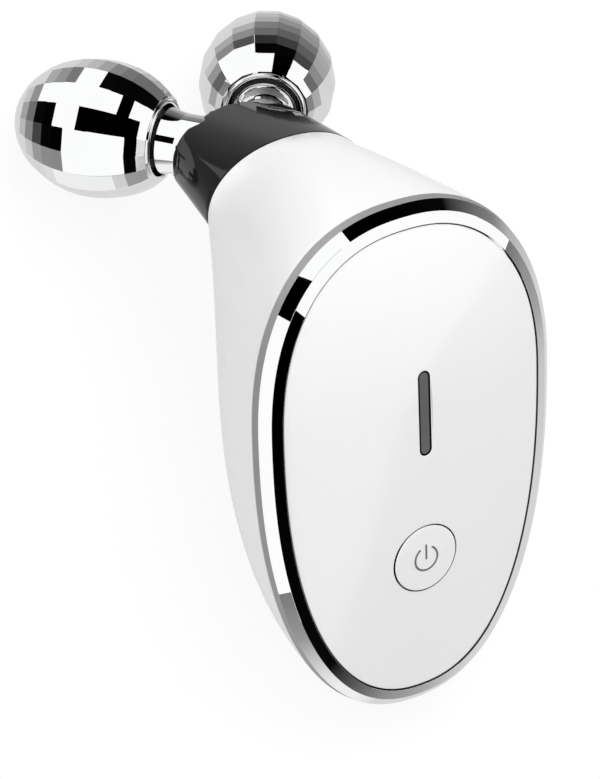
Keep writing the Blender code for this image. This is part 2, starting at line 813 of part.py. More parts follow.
def build_board_parts(parent):
    """The lamps, the controller and the step-up coil on the board's front."""
    seat = board_front_z + touch_gap
    for number in range(led_count):
        y = lens_y + (number - (led_count - 1) / 2) * led_pitch
        centre = (0.0, y, seat + led_size[2] / 2)
        rounded_box(f"indicator_led_{number + 1}", led_size, centre, 0.0, parent, "led_white")
    chip_centre = (*chip_place, seat + chip_size[2] / 2)
    rounded_box("controller_chip", chip_size, chip_centre, 0.0, parent, "chip_black")
    profile = (
        (0.0, 0.0),
        (coil_radius, 0.0),
        (coil_radius, coil_cheek),
        (coil_waist_radius, coil_cheek),
        (coil_waist_radius, coil_height - coil_cheek),
        (coil_radius, coil_height - coil_cheek),
        (coil_radius, coil_height),
        (0.0, coil_height),
    )
    coil = turned("step_up_coil", profile, parent, "ferrite", small_steps)
    coil.location = (*coil_place, seat)


def build_battery(parent):
    """The pouch cell, and the tray that holds it under the board on four ears."""
    rim = board_front_z - board_thickness - touch_gap
    cell_front = rim - touch_gap
    cell_centre = Vector((0.0, cell_y, cell_front - cell_size[2] / 2))
    rounded_box("battery_cell", cell_size, cell_centre, cell_edge, parent, "cell_silver")
    inside = Vector(cell_size) + Vector((2 * touch_gap, 2 * touch_gap, 0.0))
    floor = cell_front - cell_size[2] - touch_gap
    outer = (inside.x + 2 * tray_wall, inside.y + 2 * tray_wall, rim - floor + tray_wall)
    outer_centre = (0.0, cell_y, (rim + floor - tray_wall) / 2)
    tray = rounded_box("battery_tray", outer, outer_centre, 0.0, parent, "tray_black")
    for number, (x, y) in enumerate(screw_places(), 1):
        ear = ear_outline(x, y, outer)
        low, high = rim - tray_ear_thickness, rim - seam_gap / 2
        join(tray, prism(f"tray_ear_{number}", ear, low, high, parent, "tray_black"))
    hollow = (inside.x, inside.y, rim - floor + overrun)
    hollow_centre = (0.0, cell_y, floor + hollow[2] / 2)
    cut(tray, rounded_box("tray_hollow", hollow, hollow_centre, 0.0, parent, "tray_black"))
    for number, place in enumerate(screw_places(), 1):
        hole = disc_outline(screw_hole_radius, place, screw_steps)
        cut(tray, prism(f"ear_hole_{number}", hole, rim - overrun, rim + overrun, parent, "steel"))
    notch_size = (tray_notch_width, overrun, 2 * tray_notch_depth)
    notch_y = cell_y + outer[1] / 2
    cut(tray, rounded_box("tray_notch", notch_size, (0.0, notch_y, rim), 0.0, parent, "steel"))


def ear_outline(x, y, outer):
    """A tab from the tray's wall to a screw, round at the screw."""
    side = math.copysign(1, x)
    inner = side * (outer[0] / 2 - tray_wall)
    ends = (cell_y - outer[1] / 2 + tray_ear_radius, cell_y + outer[1] / 2 - tray_ear_radius)
    root_y = min(max(y, ends[0]), ends[1])
    tip = []
    for i in range(ear_steps + 1):
        angle = math.pi * (i / ear_steps - 1 / 2)
        tip.append((x + side * tray_ear_radius * math.cos(angle), y + tray_ear_radius * math.sin(angle)))
    return [(inner, root_y - tray_ear_radius), *tip, (inner, root_y + tray_ear_radius)]


def build_charge_socket(parent):
    """The charging receptacle: a metal sleeve with a closed back and the tongue in its mouth."""
    mouth = land_y + touch_gap
    back = mouth + socket_length
    sleeve = tail_prism("charge_socket", socket_width, socket_height, mouth, back, parent, "steel")
    inner = (socket_width - 2 * socket_wall, socket_height - 2 * socket_wall)
    cut(sleeve, tail_prism("socket_hollow", *inner, mouth - overrun, back - 3 * socket_wall, parent, "steel"))
    tongue_size = (socket_tongue[0], socket_tongue_length, socket_tongue[1])
    tongue_y = back - socket_tongue_length / 2 - socket_wall
    join(sleeve, rounded_box("socket_tongue", tongue_size, (0.0, tongue_y, socket_z()), 0.0, parent, "steel"))


def build_head_collar(parent):
    """The dark head: a tapering sleeve with a spigot in the neck, a roof end and a seat for each stem."""
    first = seam_gap / (neck_back[1] - head_end_back[1])
    last = 1 + head_overshoot_share
    rings = [head_ring(first + (last - first) * i / head_rows) for i in range(head_rows + 1)]
    collar = loft("head_collar", rings, parent, "charcoal_gloss")
    spigot_inset = shell_wall + touch_gap
    buried = head_ring(spigot_bury_share, spigot_inset)
    spigot = loft("spigot", [*spigot_rings(spigot_inset), buried], parent, "charcoal_gloss")
    join(collar, spigot)
    cut(collar, roof_cutter("roof_end", head_ridge_z, head_ridge_angle, parent))
    cut(collar, head_cavity(spigot_inset + spigot_wall, parent))
    lug_front = shell_lug_front_z - shell_lug_thickness - touch_gap
    lug_back = lug_front - head_lug_thickness
    form_inset = spigot_inset + spigot_wall / 2
    form_rings = [*throat_rings(form_inset), beyond_neck(form_inset)]
    form = helper(loft("head_lug_form", form_rings, parent, "steel"))
    for side in (-1, 1):
        size = (lug_outer_x - lug_inner_x, lug_width, head_lug_thickness)
        middle = (side * (lug_outer_x + lug_inner_x) / 2, lug_y, (lug_front + lug_back) / 2)
        lug = rounded_box(f"head_lug_{side}", size, middle, 0.0, parent, "charcoal_gloss")
        join(collar, combine(lug, form, "INTERSECT"))
        hole = disc_outline(pillar_hole_radius, (side * lug_screw_x, lug_y), screw_steps)
        low, high = lug_back - overrun, lug_front + short_overrun
        cut(collar, prism(f"head_lug_hole_{side}", hole, low, high, parent, "steel"))
    return collar


def head_cavity(bore_inset, parent):
    """The hollow of the head: the spigot's bore, widening to the head's wall, and a roof along the seats."""
    rings = throat_rings(bore_inset)
    for i in range(1, head_rows + 1):
        share = i / head_rows
        rings.append(head_ring(share, bore_inset + (head_wall - bore_inset) * share))
    cavity = helper(loft("head_cavity", rings, parent, "charcoal_gloss"))
    ridge = apex_z - cavity_reach / math.cos(stem_splay)
    return cut(cavity, roof_cutter("cavity_roof", ridge, stem_splay, parent))


def seat_stem(collar, axis, side_name):
    """Cuts a stem's counterbore and stud hole into the collar."""
    far = rim_reach + overrun
    bore = stem_radius + stem_seat_gap
    cut(collar, turned(f"stem_bore_{side_name}", cylinder(bore, seat_reach, far), axis, "steel"))
    stud_hole = cylinder(stud_hole_radius, cavity_reach - short_overrun, far)
    cut(collar, turned(f"stud_bore_{side_name}", stud_hole, axis, "steel", small_steps))


def build_stem(axis, side_name):
    """The chrome stem: a shoulder at the roller's mouth, a bore for the axle, and a stud behind."""
    base = seat_reach + touch_gap
    shoulder = rim_reach - seam_gap
    bore_radius = axle_radius + press_gap
    profile = [
        (0.0, stud_end_reach),
        (stud_radius, stud_end_reach),
        (stud_radius, base),
        (stem_radius, base),
        (stem_radius, shoulder - stem_shoulder_height - stem_flare_height),
    ]
    for i in range(1, flare_steps + 1):
        share = i / flare_steps
        radius = stem_radius + (stem_shoulder_radius - stem_radius) * share**2
        profile.append((radius, shoulder - stem_shoulder_height - stem_flare_height * (1 - share)))
    profile += [
        (stem_shoulder_radius, shoulder - stem_edge),
        (stem_shoulder_radius - stem_edge, shoulder),
        (bore_radius, shoulder),
        (bore_radius, shoulder - stem_bore_depth),
        (0.0, shoulder - stem_bore_depth),
    ]
    turned(f"stem_{side_name}", profile, axis, "chrome")


def build_stem_fixings(axis, side_name):
    """The ring terminal and the nut on a stem's stud, inside the head."""
    terminal_far = cavity_reach - touch_gap
    hole = stud_radius + touch_gap / 2
    ring = [(hole, terminal_far - terminal_thickness), (terminal_radius, terminal_far - terminal_thickness)]
    ring += [(terminal_radius, terminal_far), (hole, terminal_far)]
    turned(f"ring_terminal_{side_name}", ring, axis, "brass", small_steps)
    nut_far = terminal_far - terminal_thickness - touch_gap
    blank = cylinder(nut_radius, nut_far - nut_height, nut_far)
    nut = turned(f"stem_nut_{side_name}", blank, axis, "brass", nut_sides)
    thread = cylinder(hole, nut_far - nut_height - overrun, nut_far + overrun)
    cut(nut, turned(f"nut_hole_{side_name}", thread, axis, "brass", small_steps))


def build_roller_ball(axis, side_name, turn):
    """The faceted roller: an ellipsoid of flat facets, with a lip, a mouth and the pocket for its hub."""
    start = math.acos(-ball_mouth_share)
    curve = []
    for i in range(profile_samples + 1):
        angle = start * (1 - i / profile_samples)
        curve.append((ball_radius * math.sin(angle), ball_reach + ball_half_length * math.cos(angle)))
    steps = [math.dist(a, b) for a, b in zip(curve, curve[1:])]
    lengths = np.concatenate([[0.0], np.cumsum(steps)])
    profile = []
    for band in range(facet_bands):
        wanted = lengths[-1] * band / facet_bands
        profile.append(curve[int(np.argmin(abs(lengths - wanted)))])
    tip = (0.0, curve[-1][1])
    ball = faceted("roller_ball_" + side_name, [*profile, tip], facets_around, turn, axis, "chrome")
    shoulder = rim_reach + mouth_depth
    mouth = [(0.0, pocket_end_reach), (pocket_radius, pocket_end_reach), (pocket_radius, shoulder)]
    mouth += [(mouth_radius, shoulder), (mouth_radius, rim_reach + lip_depth)]
    mouth.append((mouth_radius + lip_depth + short_overrun, rim_reach - short_overrun))
    mouth.append((0.0, rim_reach - short_overrun))
    cut(ball, turned("mouth_" + side_name, mouth, axis, "chrome", turned_steps))


def faceted(name, profile, sides, turn, axis, material):
    """Spins an open profile from a flat end to a point, with a few wide sides."""
    rings = []
    for radius, height in profile:
        if radius == 0.0:
            rings.append([Vector((0.0, 0.0, height))])
            continue
        angles = [turn + math.tau * i / sides for i in range(sides)]
        rings.append([Vector((radius * math.cos(t), radius * math.sin(t), height)) for t in angles])
    ball = loft(name, rings, axis, material)
    ball.data.shade_flat()
    return ball


def build_roller_core(axis, spin, side_name):
    """What a roller turns on: the axle with its clip on the stem, and the hub with two bushes in the ball."""
    shoulder = rim_reach - seam_gap
    axle_start = shoulder - stem_bore_depth + touch_gap
    hub_front = rim_reach + mouth_depth + touch_gap
    hub_end = pocket_end_reach - hub_end_gap
    recess = hub_end - hub_recess_depth
    clip_low = recess + touch_gap
    groove_low = clip_low - touch_gap / 2
    groove_high = clip_low + clip_thickness + touch_gap / 2
    groove_radius = axle_radius - groove_depth
    axle = (
        (0.0, axle_start),
        (axle_radius, axle_start),
        (axle_radius, groove_low),
        (groove_radius, groove_low),
        (groove_radius, groove_high),
        (axle_radius, groove_high),
        (axle_radius, groove_high + axle_tail),
        (0.0, groove_high + axle_tail),
    )
    turned(f"axle_{side_name}", axle, axis, "steel")
    clip_hole = groove_radius + press_gap
    clip = [(clip_hole, clip_low), (clip_radius, clip_low)]
    clip += [(clip_radius, clip_low + clip_thickness), (clip_hole, clip_low + clip_thickness)]
    turned(f"axle_clip_{side_name}", clip, axis, "steel", small_steps, math.tau - clip_mouth)
    hub = [
        (hub_bore_radius, hub_front),
        (pocket_radius - hub_gap, hub_front),
        (pocket_radius - hub_gap, hub_end),
        (hub_recess_radius, hub_end),
        (hub_recess_radius, recess),
        (hub_bore_radius, recess),
    ]
    turned(f"roller_hub_{side_name}", hub, spin, "hub_grey")
    bore = (axle_radius + running_gap) / math.cos(math.pi / turned_steps)
    sleeve = hub_bore_radius - press_gap
    flange_low = hub_front - touch_gap - bush_flange_thickness
    inner_bush = [
        (bore, flange_low),
        (bush_flange_radius, flange_low),
        (bush_flange_radius, hub_front - touch_gap),
        (sleeve, hub_front - touch_gap),
        (sleeve, hub_front + bush_length),
        (bore, hub_front + bush_length),
    ]
    turned(f"inner_bush_{side_name}", inner_bush, spin, "brass")
    outer_end = recess - touch_gap
    outer_start = outer_end - bush_length
    outer_bush = [(bore, outer_start), (sleeve, outer_start), (sleeve, outer_end), (bore, outer_end)]
    turned(f"outer_bush_{side_name}", outer_bush, spin, "brass")


def lead_points(route, side, start_y):
    """A lead's route on one side, with its y counted from start_y."""
    return [Vector((side * x, start_y + y, z)) for x, y, z in route]


def terminal_rim(side):
    """Where a lead's end meets the outer rim of its stem's ring terminal."""
    reach = cavity_reach - touch_gap - lead_radius
    return stem_frame(side) @ Vector((-(terminal_radius + touch_gap), 0.0, reach))


def build_lead(name, points, parent, material):
    """A round lead on a smooth curve through these points."""
    padded = [2 * points[0] - points[1], *points, 2 * points[-1] - points[-2]]
    smooth = []
    for a, b, c, d in zip(padded, padded[1:], padded[2:], padded[3:]):
        for i in range(lead_steps):
            t = i / lead_steps
            first = (c - a) / 2
            second = (2 * a - 5 * b + 4 * c - d) / 2
            third = (3 * (b - c) + d - a) / 2
            smooth.append(b + first * t + second * t**2 + third * t**3)
    smooth.append(points[-1])
    curve = bpy.data.curves.new(name, "CURVE")
    curve.dimensions = "3D"
    curve.bevel_depth = lead_radius
    curve.bevel_resolution = 2
    curve.use_fill_caps = True
    line = curve.splines.new("POLY")
    line.points.add(len(smooth) - 1)
    for spot, place in zip(line.points, smooth):
        spot.co = (*place, 1.0)
    curve.materials.append(look(material))
    lead = bpy.data.objects.new(name, curve)
    bpy.context.scene.collection.objects.link(lead)
    lead.parent = parent


def node_points(names=None):
    """World points of every rendered piece, or of the named ones."""
    bpy.context.view_layer.update()
    graph = bpy.context.evaluated_depsgraph_get()
    found = []
    for piece in bpy.data.objects:
        if piece.type == "EMPTY" or piece.hide_render or (names and piece.name not in names):
            continue
        evaluated = piece.evaluated_get(graph)
        mesh = evaluated.to_mesh()
        flat = np.empty(len(mesh.vertices) * 3, np.float32)
        mesh.vertices.foreach_get("co", flat)
        place = np.array(evaluated.matrix_world)
        found.append(flat.reshape(-1, 3) @ place[:3, :3].T + place[:3, 3])
        evaluated.to_mesh_clear()
    return np.concatenate(found)


def lay_down(rest_pose):
    """Tilts the massager until both rollers and the tail touch the table, with the origin under its middle."""
    balls = node_points(("roller_ball_left", "roller_ball_right"))
    shell = node_points(("body_shell", "trim_ring"))

    def difference(angle):
        up = np.array((0.0, math.sin(angle), math.cos(angle)))
        return (balls @ up).min() - (shell @ up).min()

    low, high = 0.0, math.pi / 2
    for _ in range(50):
        middle = (low + high) / 2
        if difference(middle) < 0:
            low = middle
        else:
            high = middle
    rest_pose.rotation_euler.x = low
    points = node_points()
    lowest, highest = points.min(axis=0), points.max(axis=0)
    rest_pose.location = (0.0, -(lowest[1] + highest[1]) / 2, -lowest[2])
    bpy.context.view_layer.update()


def build_massager():
    clear_scene()
    rest_pose = add_empty("rest_pose")
    shell = build_body_shell(rest_pose)
    build_trim_ring(rest_pose)
    build_face_plate(rest_pose)
    build_indicator_lens(rest_pose)
    build_button(add_empty("button_axis", rest_pose, Matrix.Translation((0.0, button_y, 0.0))))
    build_tact_switch(rest_pose)
    build_main_board(rest_pose)
    build_board_parts(rest_pose)
    for number, place in enumerate(screw_places(), 1):
        build_screw(f"board_screw_{number}", place, board_front_z + touch_gap, rest_pose)
    build_battery(rest_pose)
    build_charge_socket(rest_pose)
    collar = build_head_collar(rest_pose)
    for side, name in ((-1, "left"), (1, "right")):
        axis = add_empty(f"stem_axis_{name}", rest_pose, stem_frame(side))
        spin = add_empty(f"roller_spin_{name}", axis)
        seat_stem(collar, axis, name)
        build_stem(axis, name)
        build_stem_fixings(axis, name)
        build_roller_core(axis, spin, name)
        build_roller_ball(spin, name, facet_turn)
        screw_place = (side * lug_screw_x, lug_y)
        build_screw(f"head_screw_{name}", screw_place, shell_lug_front_z + touch_gap, rest_pose)
        sheath = "red_lead" if side > 0 else "black_lead"
        stem_points = [*lead_points(stem_lead_route, side, neck_y), terminal_rim(side)]
        build_lead(f"stem_lead_{name}", stem_points, rest_pose, sheath)
        cell_points = lead_points(cell_lead_route, side, cell_y + cell_size[1] / 2)
        build_lead(f"cell_lead_{name}", cell_points, rest_pose, sheath)
    for piece in (shell, collar):
        merge_slivers(piece)
    lay_down(rest_pose)


build_massager()
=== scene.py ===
"""Microcurrent face massager: the visible pieces, their finishes and the studio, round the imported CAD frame.

The pieces are modelled in the handle's own frame, as the CAD source does: x runs across the face, y
along it towards its wide end and z out of it. rest_place then lays each one down in the row frame.
"""

import math

import bmesh
import bpy
from mathutils import Euler, Matrix, Vector


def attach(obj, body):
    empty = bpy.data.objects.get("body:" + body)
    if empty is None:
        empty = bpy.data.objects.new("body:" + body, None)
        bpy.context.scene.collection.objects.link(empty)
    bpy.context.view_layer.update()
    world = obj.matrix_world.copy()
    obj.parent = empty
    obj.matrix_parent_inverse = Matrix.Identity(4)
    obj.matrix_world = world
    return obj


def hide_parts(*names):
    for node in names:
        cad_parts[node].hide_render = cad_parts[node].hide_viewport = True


bl_info = {
    "name": "Face massager looks",
    "version": (1, 0, 0),
    "blender": (4, 5, 0),
    "location": "View3D > Sidebar > Massager",
    "description": "Models the visible pieces of a two-roller face massager, with their finishes and studio",
    "category": "Object",
}

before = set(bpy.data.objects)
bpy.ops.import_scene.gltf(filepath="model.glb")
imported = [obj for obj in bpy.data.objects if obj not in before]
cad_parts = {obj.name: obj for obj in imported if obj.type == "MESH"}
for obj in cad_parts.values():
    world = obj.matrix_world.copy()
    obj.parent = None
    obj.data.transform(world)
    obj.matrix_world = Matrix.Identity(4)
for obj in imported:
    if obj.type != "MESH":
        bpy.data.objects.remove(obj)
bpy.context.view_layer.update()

MM = 0.001

# Where the CAD lays the handle's frame
rest_tilt = math.radians(41.4666282813756)
rest_shift = Vector((0.0, -0.01822562888264656, 0.043864600360393524))
rest_place = Matrix.Translation(rest_shift) @ Matrix.Rotation(rest_tilt, 4, "X")

# Clearances that the CAD keeps
touch_gap = 0.3 * MM
seam_gap = 0.2 * MM
overrun = 6.0 * MM
short_overrun = 1.0 * MM

# The face's outline and its rim
face_half_width = 28.4 * MM
face_top_reach = 34.6 * MM
face_tail_reach = 55.5 * MM
face_power = 2.3
side_sag = 1.45 * MM
top_sag = 3.0 * MM

# The horn's lines, as y and z of their control points, and its half widths
top_line = ((34.6 * MM, -3.0 * MM), (36.4 * MM, -12.0 * MM), (38.2 * MM, -24.0 * MM), (34.8 * MM, -33.5 * MM))
back_line = ((-55.5 * MM, 0.0), (-50.9 * MM, -24.9 * MM), (-24.6 * MM, -33.4 * MM), (17.2 * MM, -34.6 * MM))
horn_half_widths = (28.4 * MM, 27.1 * MM, 16.1 * MM, 15.5 * MM)
rim_widest_share = 0.616
neck_widest_share = 0.39
neck_power = 2.1
rim_blend_share = 0.35
shell_wall = 1.8 * MM
spigot_start_share = 0.91
throat_start_share = 0.76

# What the shell holds: screw pillars, lugs and the socket's pad
screw_places = [(side * x * MM, y * MM) for x, y in ((15.506, 8.0), (13.007, -31.002)) for side in (-1, 1)]
pillar_radius = 2.6 * MM
pillar_hole_radius = 1.1 * MM
pillar_hole_depth = 6.5 * MM
pillar_top = -6.0 * MM
screw_hole_radius = 1.25 * MM
lug_size = (12.8 * MM, 5.4 * MM, 2.4 * MM)
lug_place = (13.6 * MM, 26.0 * MM, -26.6 * MM)
lug_screw_x = 9.9 * MM
socket_z = -5.55 * MM
socket_slot = (9.4 * MM, 3.7 * MM)
socket_edge = 0.2 * MM
land_size = (13.4 * MM, 7.0 * MM)
land_y = -53.1 * MM
pad_size = (16.0 * MM, 2.6 * MM, 6.4 * MM)

# Trim ring: insets from the outline and heights over the rim
ring_profile = (
    (0.0 * MM, 0.2 * MM),
    (0.3 * MM, 1.5 * MM),
    (1.85 * MM, 2.9 * MM),
    (3.6 * MM, 3.4 * MM),
    (3.6 * MM, 1.2 * MM),
    (4.9 * MM, 1.2 * MM),
    (4.9 * MM, 0.3 * MM),
    (3.1 * MM, 0.3 * MM),
    (3.85 * MM, -2.0 * MM),
    (2.85 * MM, -2.0 * MM),
    (2.1 * MM, 0.2 * MM),
)
ring_wall_height = 1.5 * MM
ring_wall_steepness = 0.85
ring_wall_share = 0.984

# Face plate, light bar and button
plate_inset = 3.85 * MM
plate_edge_height = 3.25 * MM
plate_crown = 2.6 * MM
plate_thickness = 1.75 * MM
plate_back_shares = (0.5, 0.9, 1.0)
bar_y = 0.1 * MM
bar_length = 15.0 * MM
bar_width = 2.1 * MM
bar_gap = 0.12 * MM
bar_flange = 0.9 * MM
bar_flange_thickness = 0.8 * MM
bar_foot_z = -1.3 * MM
bar_recess = 0.1 * MM
# Width of the band round the light bar's front that gets painted shade
bar_shade_band = 0.22 * MM
wall_slack = 0.02 * MM
wall_lean = 0.3
button_y = -26.8 * MM
button_radius = 5.95 * MM
button_gap = 0.25 * MM
button_proud = 0.2 * MM
button_flange = 1.0 * MM
button_flange_thickness = 0.8 * MM
button_pocket_depth = 1.3 * MM
button_stub_radius = 2.0 * MM
button_stub_length = 0.7 * MM
skirt_lean = 0.2
mark_bar_length = 2.45 * MM

# How an opening's small round grows outward and rises, as shares of the round
opening_steps = ((0.0, -1.0), (0.13, -0.5), (0.5, -0.13), (1.0, 0.0))
opening_flare = (3.0, 0.9)

# Head: its end, the roof that closes it and its hollow
head_end_top = (33.6 * MM, -54.0 * MM)
head_end_back = (21.2 * MM, -52.8 * MM)
head_end_half_width = 12.3 * MM
head_end_widest_share = 0.52
head_end_power = 2.7
head_ridge_z = -53.2 * MM
head_ridge_angle = math.radians(17.0)
head_overshoot = 1.3
head_start = 0.011
head_wall = 1.7 * MM
spigot_inset = 2.1 * MM
spigot_wall = 1.3 * MM
spigot_bury_share = 0.12
form_end_share = 0.3
head_lug_size = (12.8 * MM, 5.4 * MM, 4.0 * MM)
head_lug_z = -30.1 * MM

# Stems and rollers, as distances along each axis from the apex of the V
apex = Vector((0.0, 27.85 * MM, -42.6 * MM))
stem_splay = math.radians(34.6)
stem_lift = math.radians(2.1)
cavity_reach = 7.0 * MM
seat_reach = 8.6 * MM
rim_reach = 17.25 * MM
bore_radius = 5.3 * MM
stud_hole_radius = 1.8 * MM
stem_radius = 5.15 * MM
stem_shoulder_radius = 5.65 * MM
stem_flare_start = 13.6 * MM
stem_flare_end = 16.8 * MM
stem_flare_power = 1.3
stem_edge = 0.25 * MM
stem_shoulder = 17.05 * MM
stem_bore_radius = 2.05 * MM
stem_bore_depth = 4.6 * MM
stud_radius = 1.5 * MM
stud_end_reach = 3.9 * MM
ball_half_length = 15.09 * MM
ball_radius = 11.8 * MM
ball_mouth_share = 0.7985
ball_middle = 29.2994 * MM
ball_rim_radius = ball_radius * math.sqrt(1 - ball_mouth_share**2)
facets_around = 18
facet_bands = 16
facet_turn = math.radians(1.8)
lip_width = 0.65 * MM
lip_round = 0.48 * MM
lip_rows = 10
mouth_depth = 2.0 * MM
pocket_step = 0.55 * MM
pocket_end_share = 0.59
pocket_end = ball_middle + pocket_end_share * ball_half_length

# How far an edge turns, in degrees, before it is rounded or stays sharp
ring_round_angle = 20.0
ring_sharp_angle = 9.0
head_round_angle = 25.0
facet_round_angle = 3.0
facet_sharp_angle = 1.0

# Fineness
round_the_face = 240
round_the_horn = 168
horn_rows = 56
lining_rows = 20
neck_rows = 5
head_rows = 20
cavity_rows = 10
round_small = 96
round_post = 48
slot_steps = 16
dome_rows = 48
crown_rows = 12
flare_rows = 12
mark_steps = 64
mark_bar_steps = 10
curve_samples = 2000

# Dust
dust_veil_scale = 180.0
dust_colour = (0.42, 0.41, 0.40)
dust_roughness = 0.7

# The photograph's camera: its place, turn and lens, for a picture of 600 by 779
camera_place = (-0.335708, -0.120308, 0.636415)
camera_turn = (math.radians(19.7285), math.radians(-22.5445), math.radians(-24.1809))
camera_lens = 255.06
camera_sensor = 36.0
camera_clip = (0.01, 20.0)

# Studio: the floor lies just under the object, and its own white makes up most of what the camera sees of it
floor_size = 4.0
floor_gap = 0.1 * MM
floor_glow = 1.03
floor_glow_share = 0.85

# Studio: the world's plain light, and the lamps with their place, size and power
world_light = 0.72
lamps = {
    "high_lamp": ((0.5, 0.9, 1.3), 1.2, 9.0),
    "side_lamp": ((-1.2, 0.2, 0.9), 1.0, 3.0),
    "top_lamp": ((0.02, 0.05, 0.42), 0.25, 0.35),
}

# Studio: what the polished pieces see. Each sweep has an axis, and levels at angles from it in degrees
surround_radius = 3.0
surround_rows = 24
dark_end_axis = (-0.516, -0.0641, 0.8542)
dark_end_steps = ((60.0, 0.0), (85.0, 0.003), (95.0, 0.137), (105.0, 0.30), (115.0, 0.41), (125.0, 0.74))
low_sweep_axis = (-0.1993, -0.5413, -0.8169)
low_sweep_steps = ((20.0, 0.96), (35.0, 0.35), (45.0, 0.22), (55.0, 0.0))
shade_axis = (0.814, 0.5808, 0.0047)
shade_steps = ((20.0, 0.42), (30.0, 0.62), (45.0, 1.0))

# Studio: the panels' corners, as turns round the camera's line and angles from it in degrees
panel_distance = 2.4
panel_glow = 1.1
panels = {
    "upper_panel": (
        (139, 104), (116, 90), (105, 106), (95, 94), (93, 72),
        (81, 47), (62, 40), (109, 12), (153, 43), (161, 69),
    ),
    "left_panel": (
        (161, 69), (153, 43), (-172, 39), (-156, 17), (-47, 16),
        (-81, 73), (-109, 77), (-133, 95), (-159, 63),
    ),
    "right_panel": (
        (55, 46), (50, 56), (38, 81), (35, 87), (0, 94), (-21, 77),
        (-49, 77), (-64, 77), (-50, 47), (-37, 37), (0, 28),
    ),
}


# ---------------------------------------------------------------- settings


class MassagerSizes(bpy.types.PropertyGroup):
    """Fine sizes that the CAD leaves open."""

    edge_round: bpy.props.FloatProperty(
        name="Edge round", description="Round on the edges of the mouldings", default=0.15 * MM, unit="LENGTH"
    )
    opening_round: bpy.props.FloatProperty(
        name="Opening round",
        description="Round at the mouths of the plate's openings",
        default=0.06 * MM,
        unit="LENGTH",
    )
    ring_edge_round: bpy.props.FloatProperty(
        name="Ring edge round",
        description="Round between the ring's facets",
        default=0.02 * MM,
        unit="LENGTH",
    )
    facet_edge_round: bpy.props.FloatProperty(
        name="Facet edge round",
        description="Round between a roller's facets",
        default=0.04 * MM,
        unit="LENGTH",
    )
    button_edge_round: bpy.props.FloatProperty(
        name="Button edge round",
        description="Round on the rim of the power button",
        default=0.2 * MM,
        unit="LENGTH",
    )
    mark_radius: bpy.props.FloatProperty(
        name="Mark radius",
        description="Middle radius of the power mark's arc",
        default=2.17 * MM,
        unit="LENGTH",
    )
    mark_stroke: bpy.props.FloatProperty(
        name="Mark stroke", description="Width of the power mark's lines", default=0.36 * MM, unit="LENGTH"
    )
    mark_height: bpy.props.FloatProperty(
        name="Mark height",
        description="How far the power mark stands off the button",
        default=0.03 * MM,
        unit="LENGTH",
    )
    mark_opening: bpy.props.FloatProperty(
        name="Mark opening",
        description="Angle left open in the power mark's arc",
        default=math.radians(68.0),
        unit="ROTATION",
    )


class MassagerColours(bpy.types.PropertyGroup):
    """Colours of the finishes that show."""

    shell: bpy.props.FloatVectorProperty(
        name="Shell",
        description="Gloss white of the horn",
        default=(0.80, 0.80, 0.805),
        subtype="COLOR", min=0.0, max=1.0,
    )
    plate: bpy.props.FloatVectorProperty(
        name="Plate",
        description="Gloss white of the face plate and button",
        default=(0.88, 0.88, 0.88),
        subtype="COLOR", min=0.0, max=1.0,
    )
    chrome: bpy.props.FloatVectorProperty(
        name="Chrome",
        description="Bright plating of ring, stems and rollers",
        default=(0.88, 0.885, 0.89),
        subtype="COLOR", min=0.0, max=1.0,
    )
    head: bpy.props.FloatVectorProperty(
        name="Head",
        description="Dark gloss of the head",
        default=(0.012, 0.012, 0.013),
        subtype="COLOR", min=0.0, max=1.0,
    )
    light_bar: bpy.props.FloatVectorProperty(
        name="Light bar",
        description="Smoked light bar while it is off",
        default=(0.115, 0.115, 0.118),
        subtype="COLOR", min=0.0, max=1.0,
    )
    mark: bpy.props.FloatVectorProperty(
        name="Power mark",
        description="Grey print of the power mark",
        default=(0.155, 0.155, 0.158),
        subtype="COLOR", min=0.0, max=1.0,
    )
    ground: bpy.props.FloatVectorProperty(
        name="Ground",
        description="Pale studio floor",
        default=(0.85, 0.85, 0.85),
        subtype="COLOR", min=0.0, max=1.0,
    )


# ---------------------------------------------------------------- modelling helpers


def deselect():
    """Leaves nothing selected, so that an operator acts only on what is picked next."""
    if bpy.context.object and bpy.context.object.mode != "OBJECT":
        bpy.ops.object.mode_set(mode="OBJECT")
    bpy.ops.object.select_all(action="DESELECT")


def pick(piece):
    """Selects one piece alone and makes it active."""
    deselect()
    piece.select_set(True)
    bpy.context.view_layer.objects.active = piece


def lay_on(piece, ring):
    """Lays the selected loop on a ring of points."""
    bm = bmesh.from_edit_mesh(piece.data)
    order = bm.verts.layers.int["order"]
    for corner in bm.verts:
        if corner.select:
            corner.co = ring[corner[order]]
    bmesh.update_edit_mesh(piece.data)


def skin(name, rings, ends="solid"):
    """Adds a circle and extrudes it from ring to ring, laying each new loop on its own outline.

    ends is solid for flat caps, tip to draw the last loop to a point, or loop to join it to the first.
    """
    deselect()
    fill = "NOTHING" if ends == "loop" else "NGON"
    bpy.ops.mesh.primitive_circle_add(vertices=len(rings[0]), radius=MM, fill_type=fill)
    piece = bpy.context.object
    piece.name = name
    bpy.ops.object.mode_set(mode="EDIT")
    bpy.ops.mesh.select_all(action="SELECT")
    bm = bmesh.from_edit_mesh(piece.data)
    order = bm.verts.layers.int.new("order")
    for number, corner in enumerate(bm.verts):
        corner[order] = number
    lay_on(piece, rings[0])
    for ring in rings[1:]:
        bpy.ops.mesh.extrude_region_move(TRANSFORM_OT_translate={"value": (0.0, 0.0, MM)})
        lay_on(piece, ring)
    if ends == "tip":
        bpy.ops.mesh.merge(type="CENTER")
    bpy.ops.mesh.select_all(action="SELECT")
    if ends == "loop":
        bpy.ops.mesh.remove_doubles(threshold=0.0001 * MM)
    bpy.ops.mesh.normals_make_consistent(inside=False)
    bpy.ops.object.mode_set(mode="OBJECT")
    piece.data.attributes.remove(piece.data.attributes["order"])
    return piece


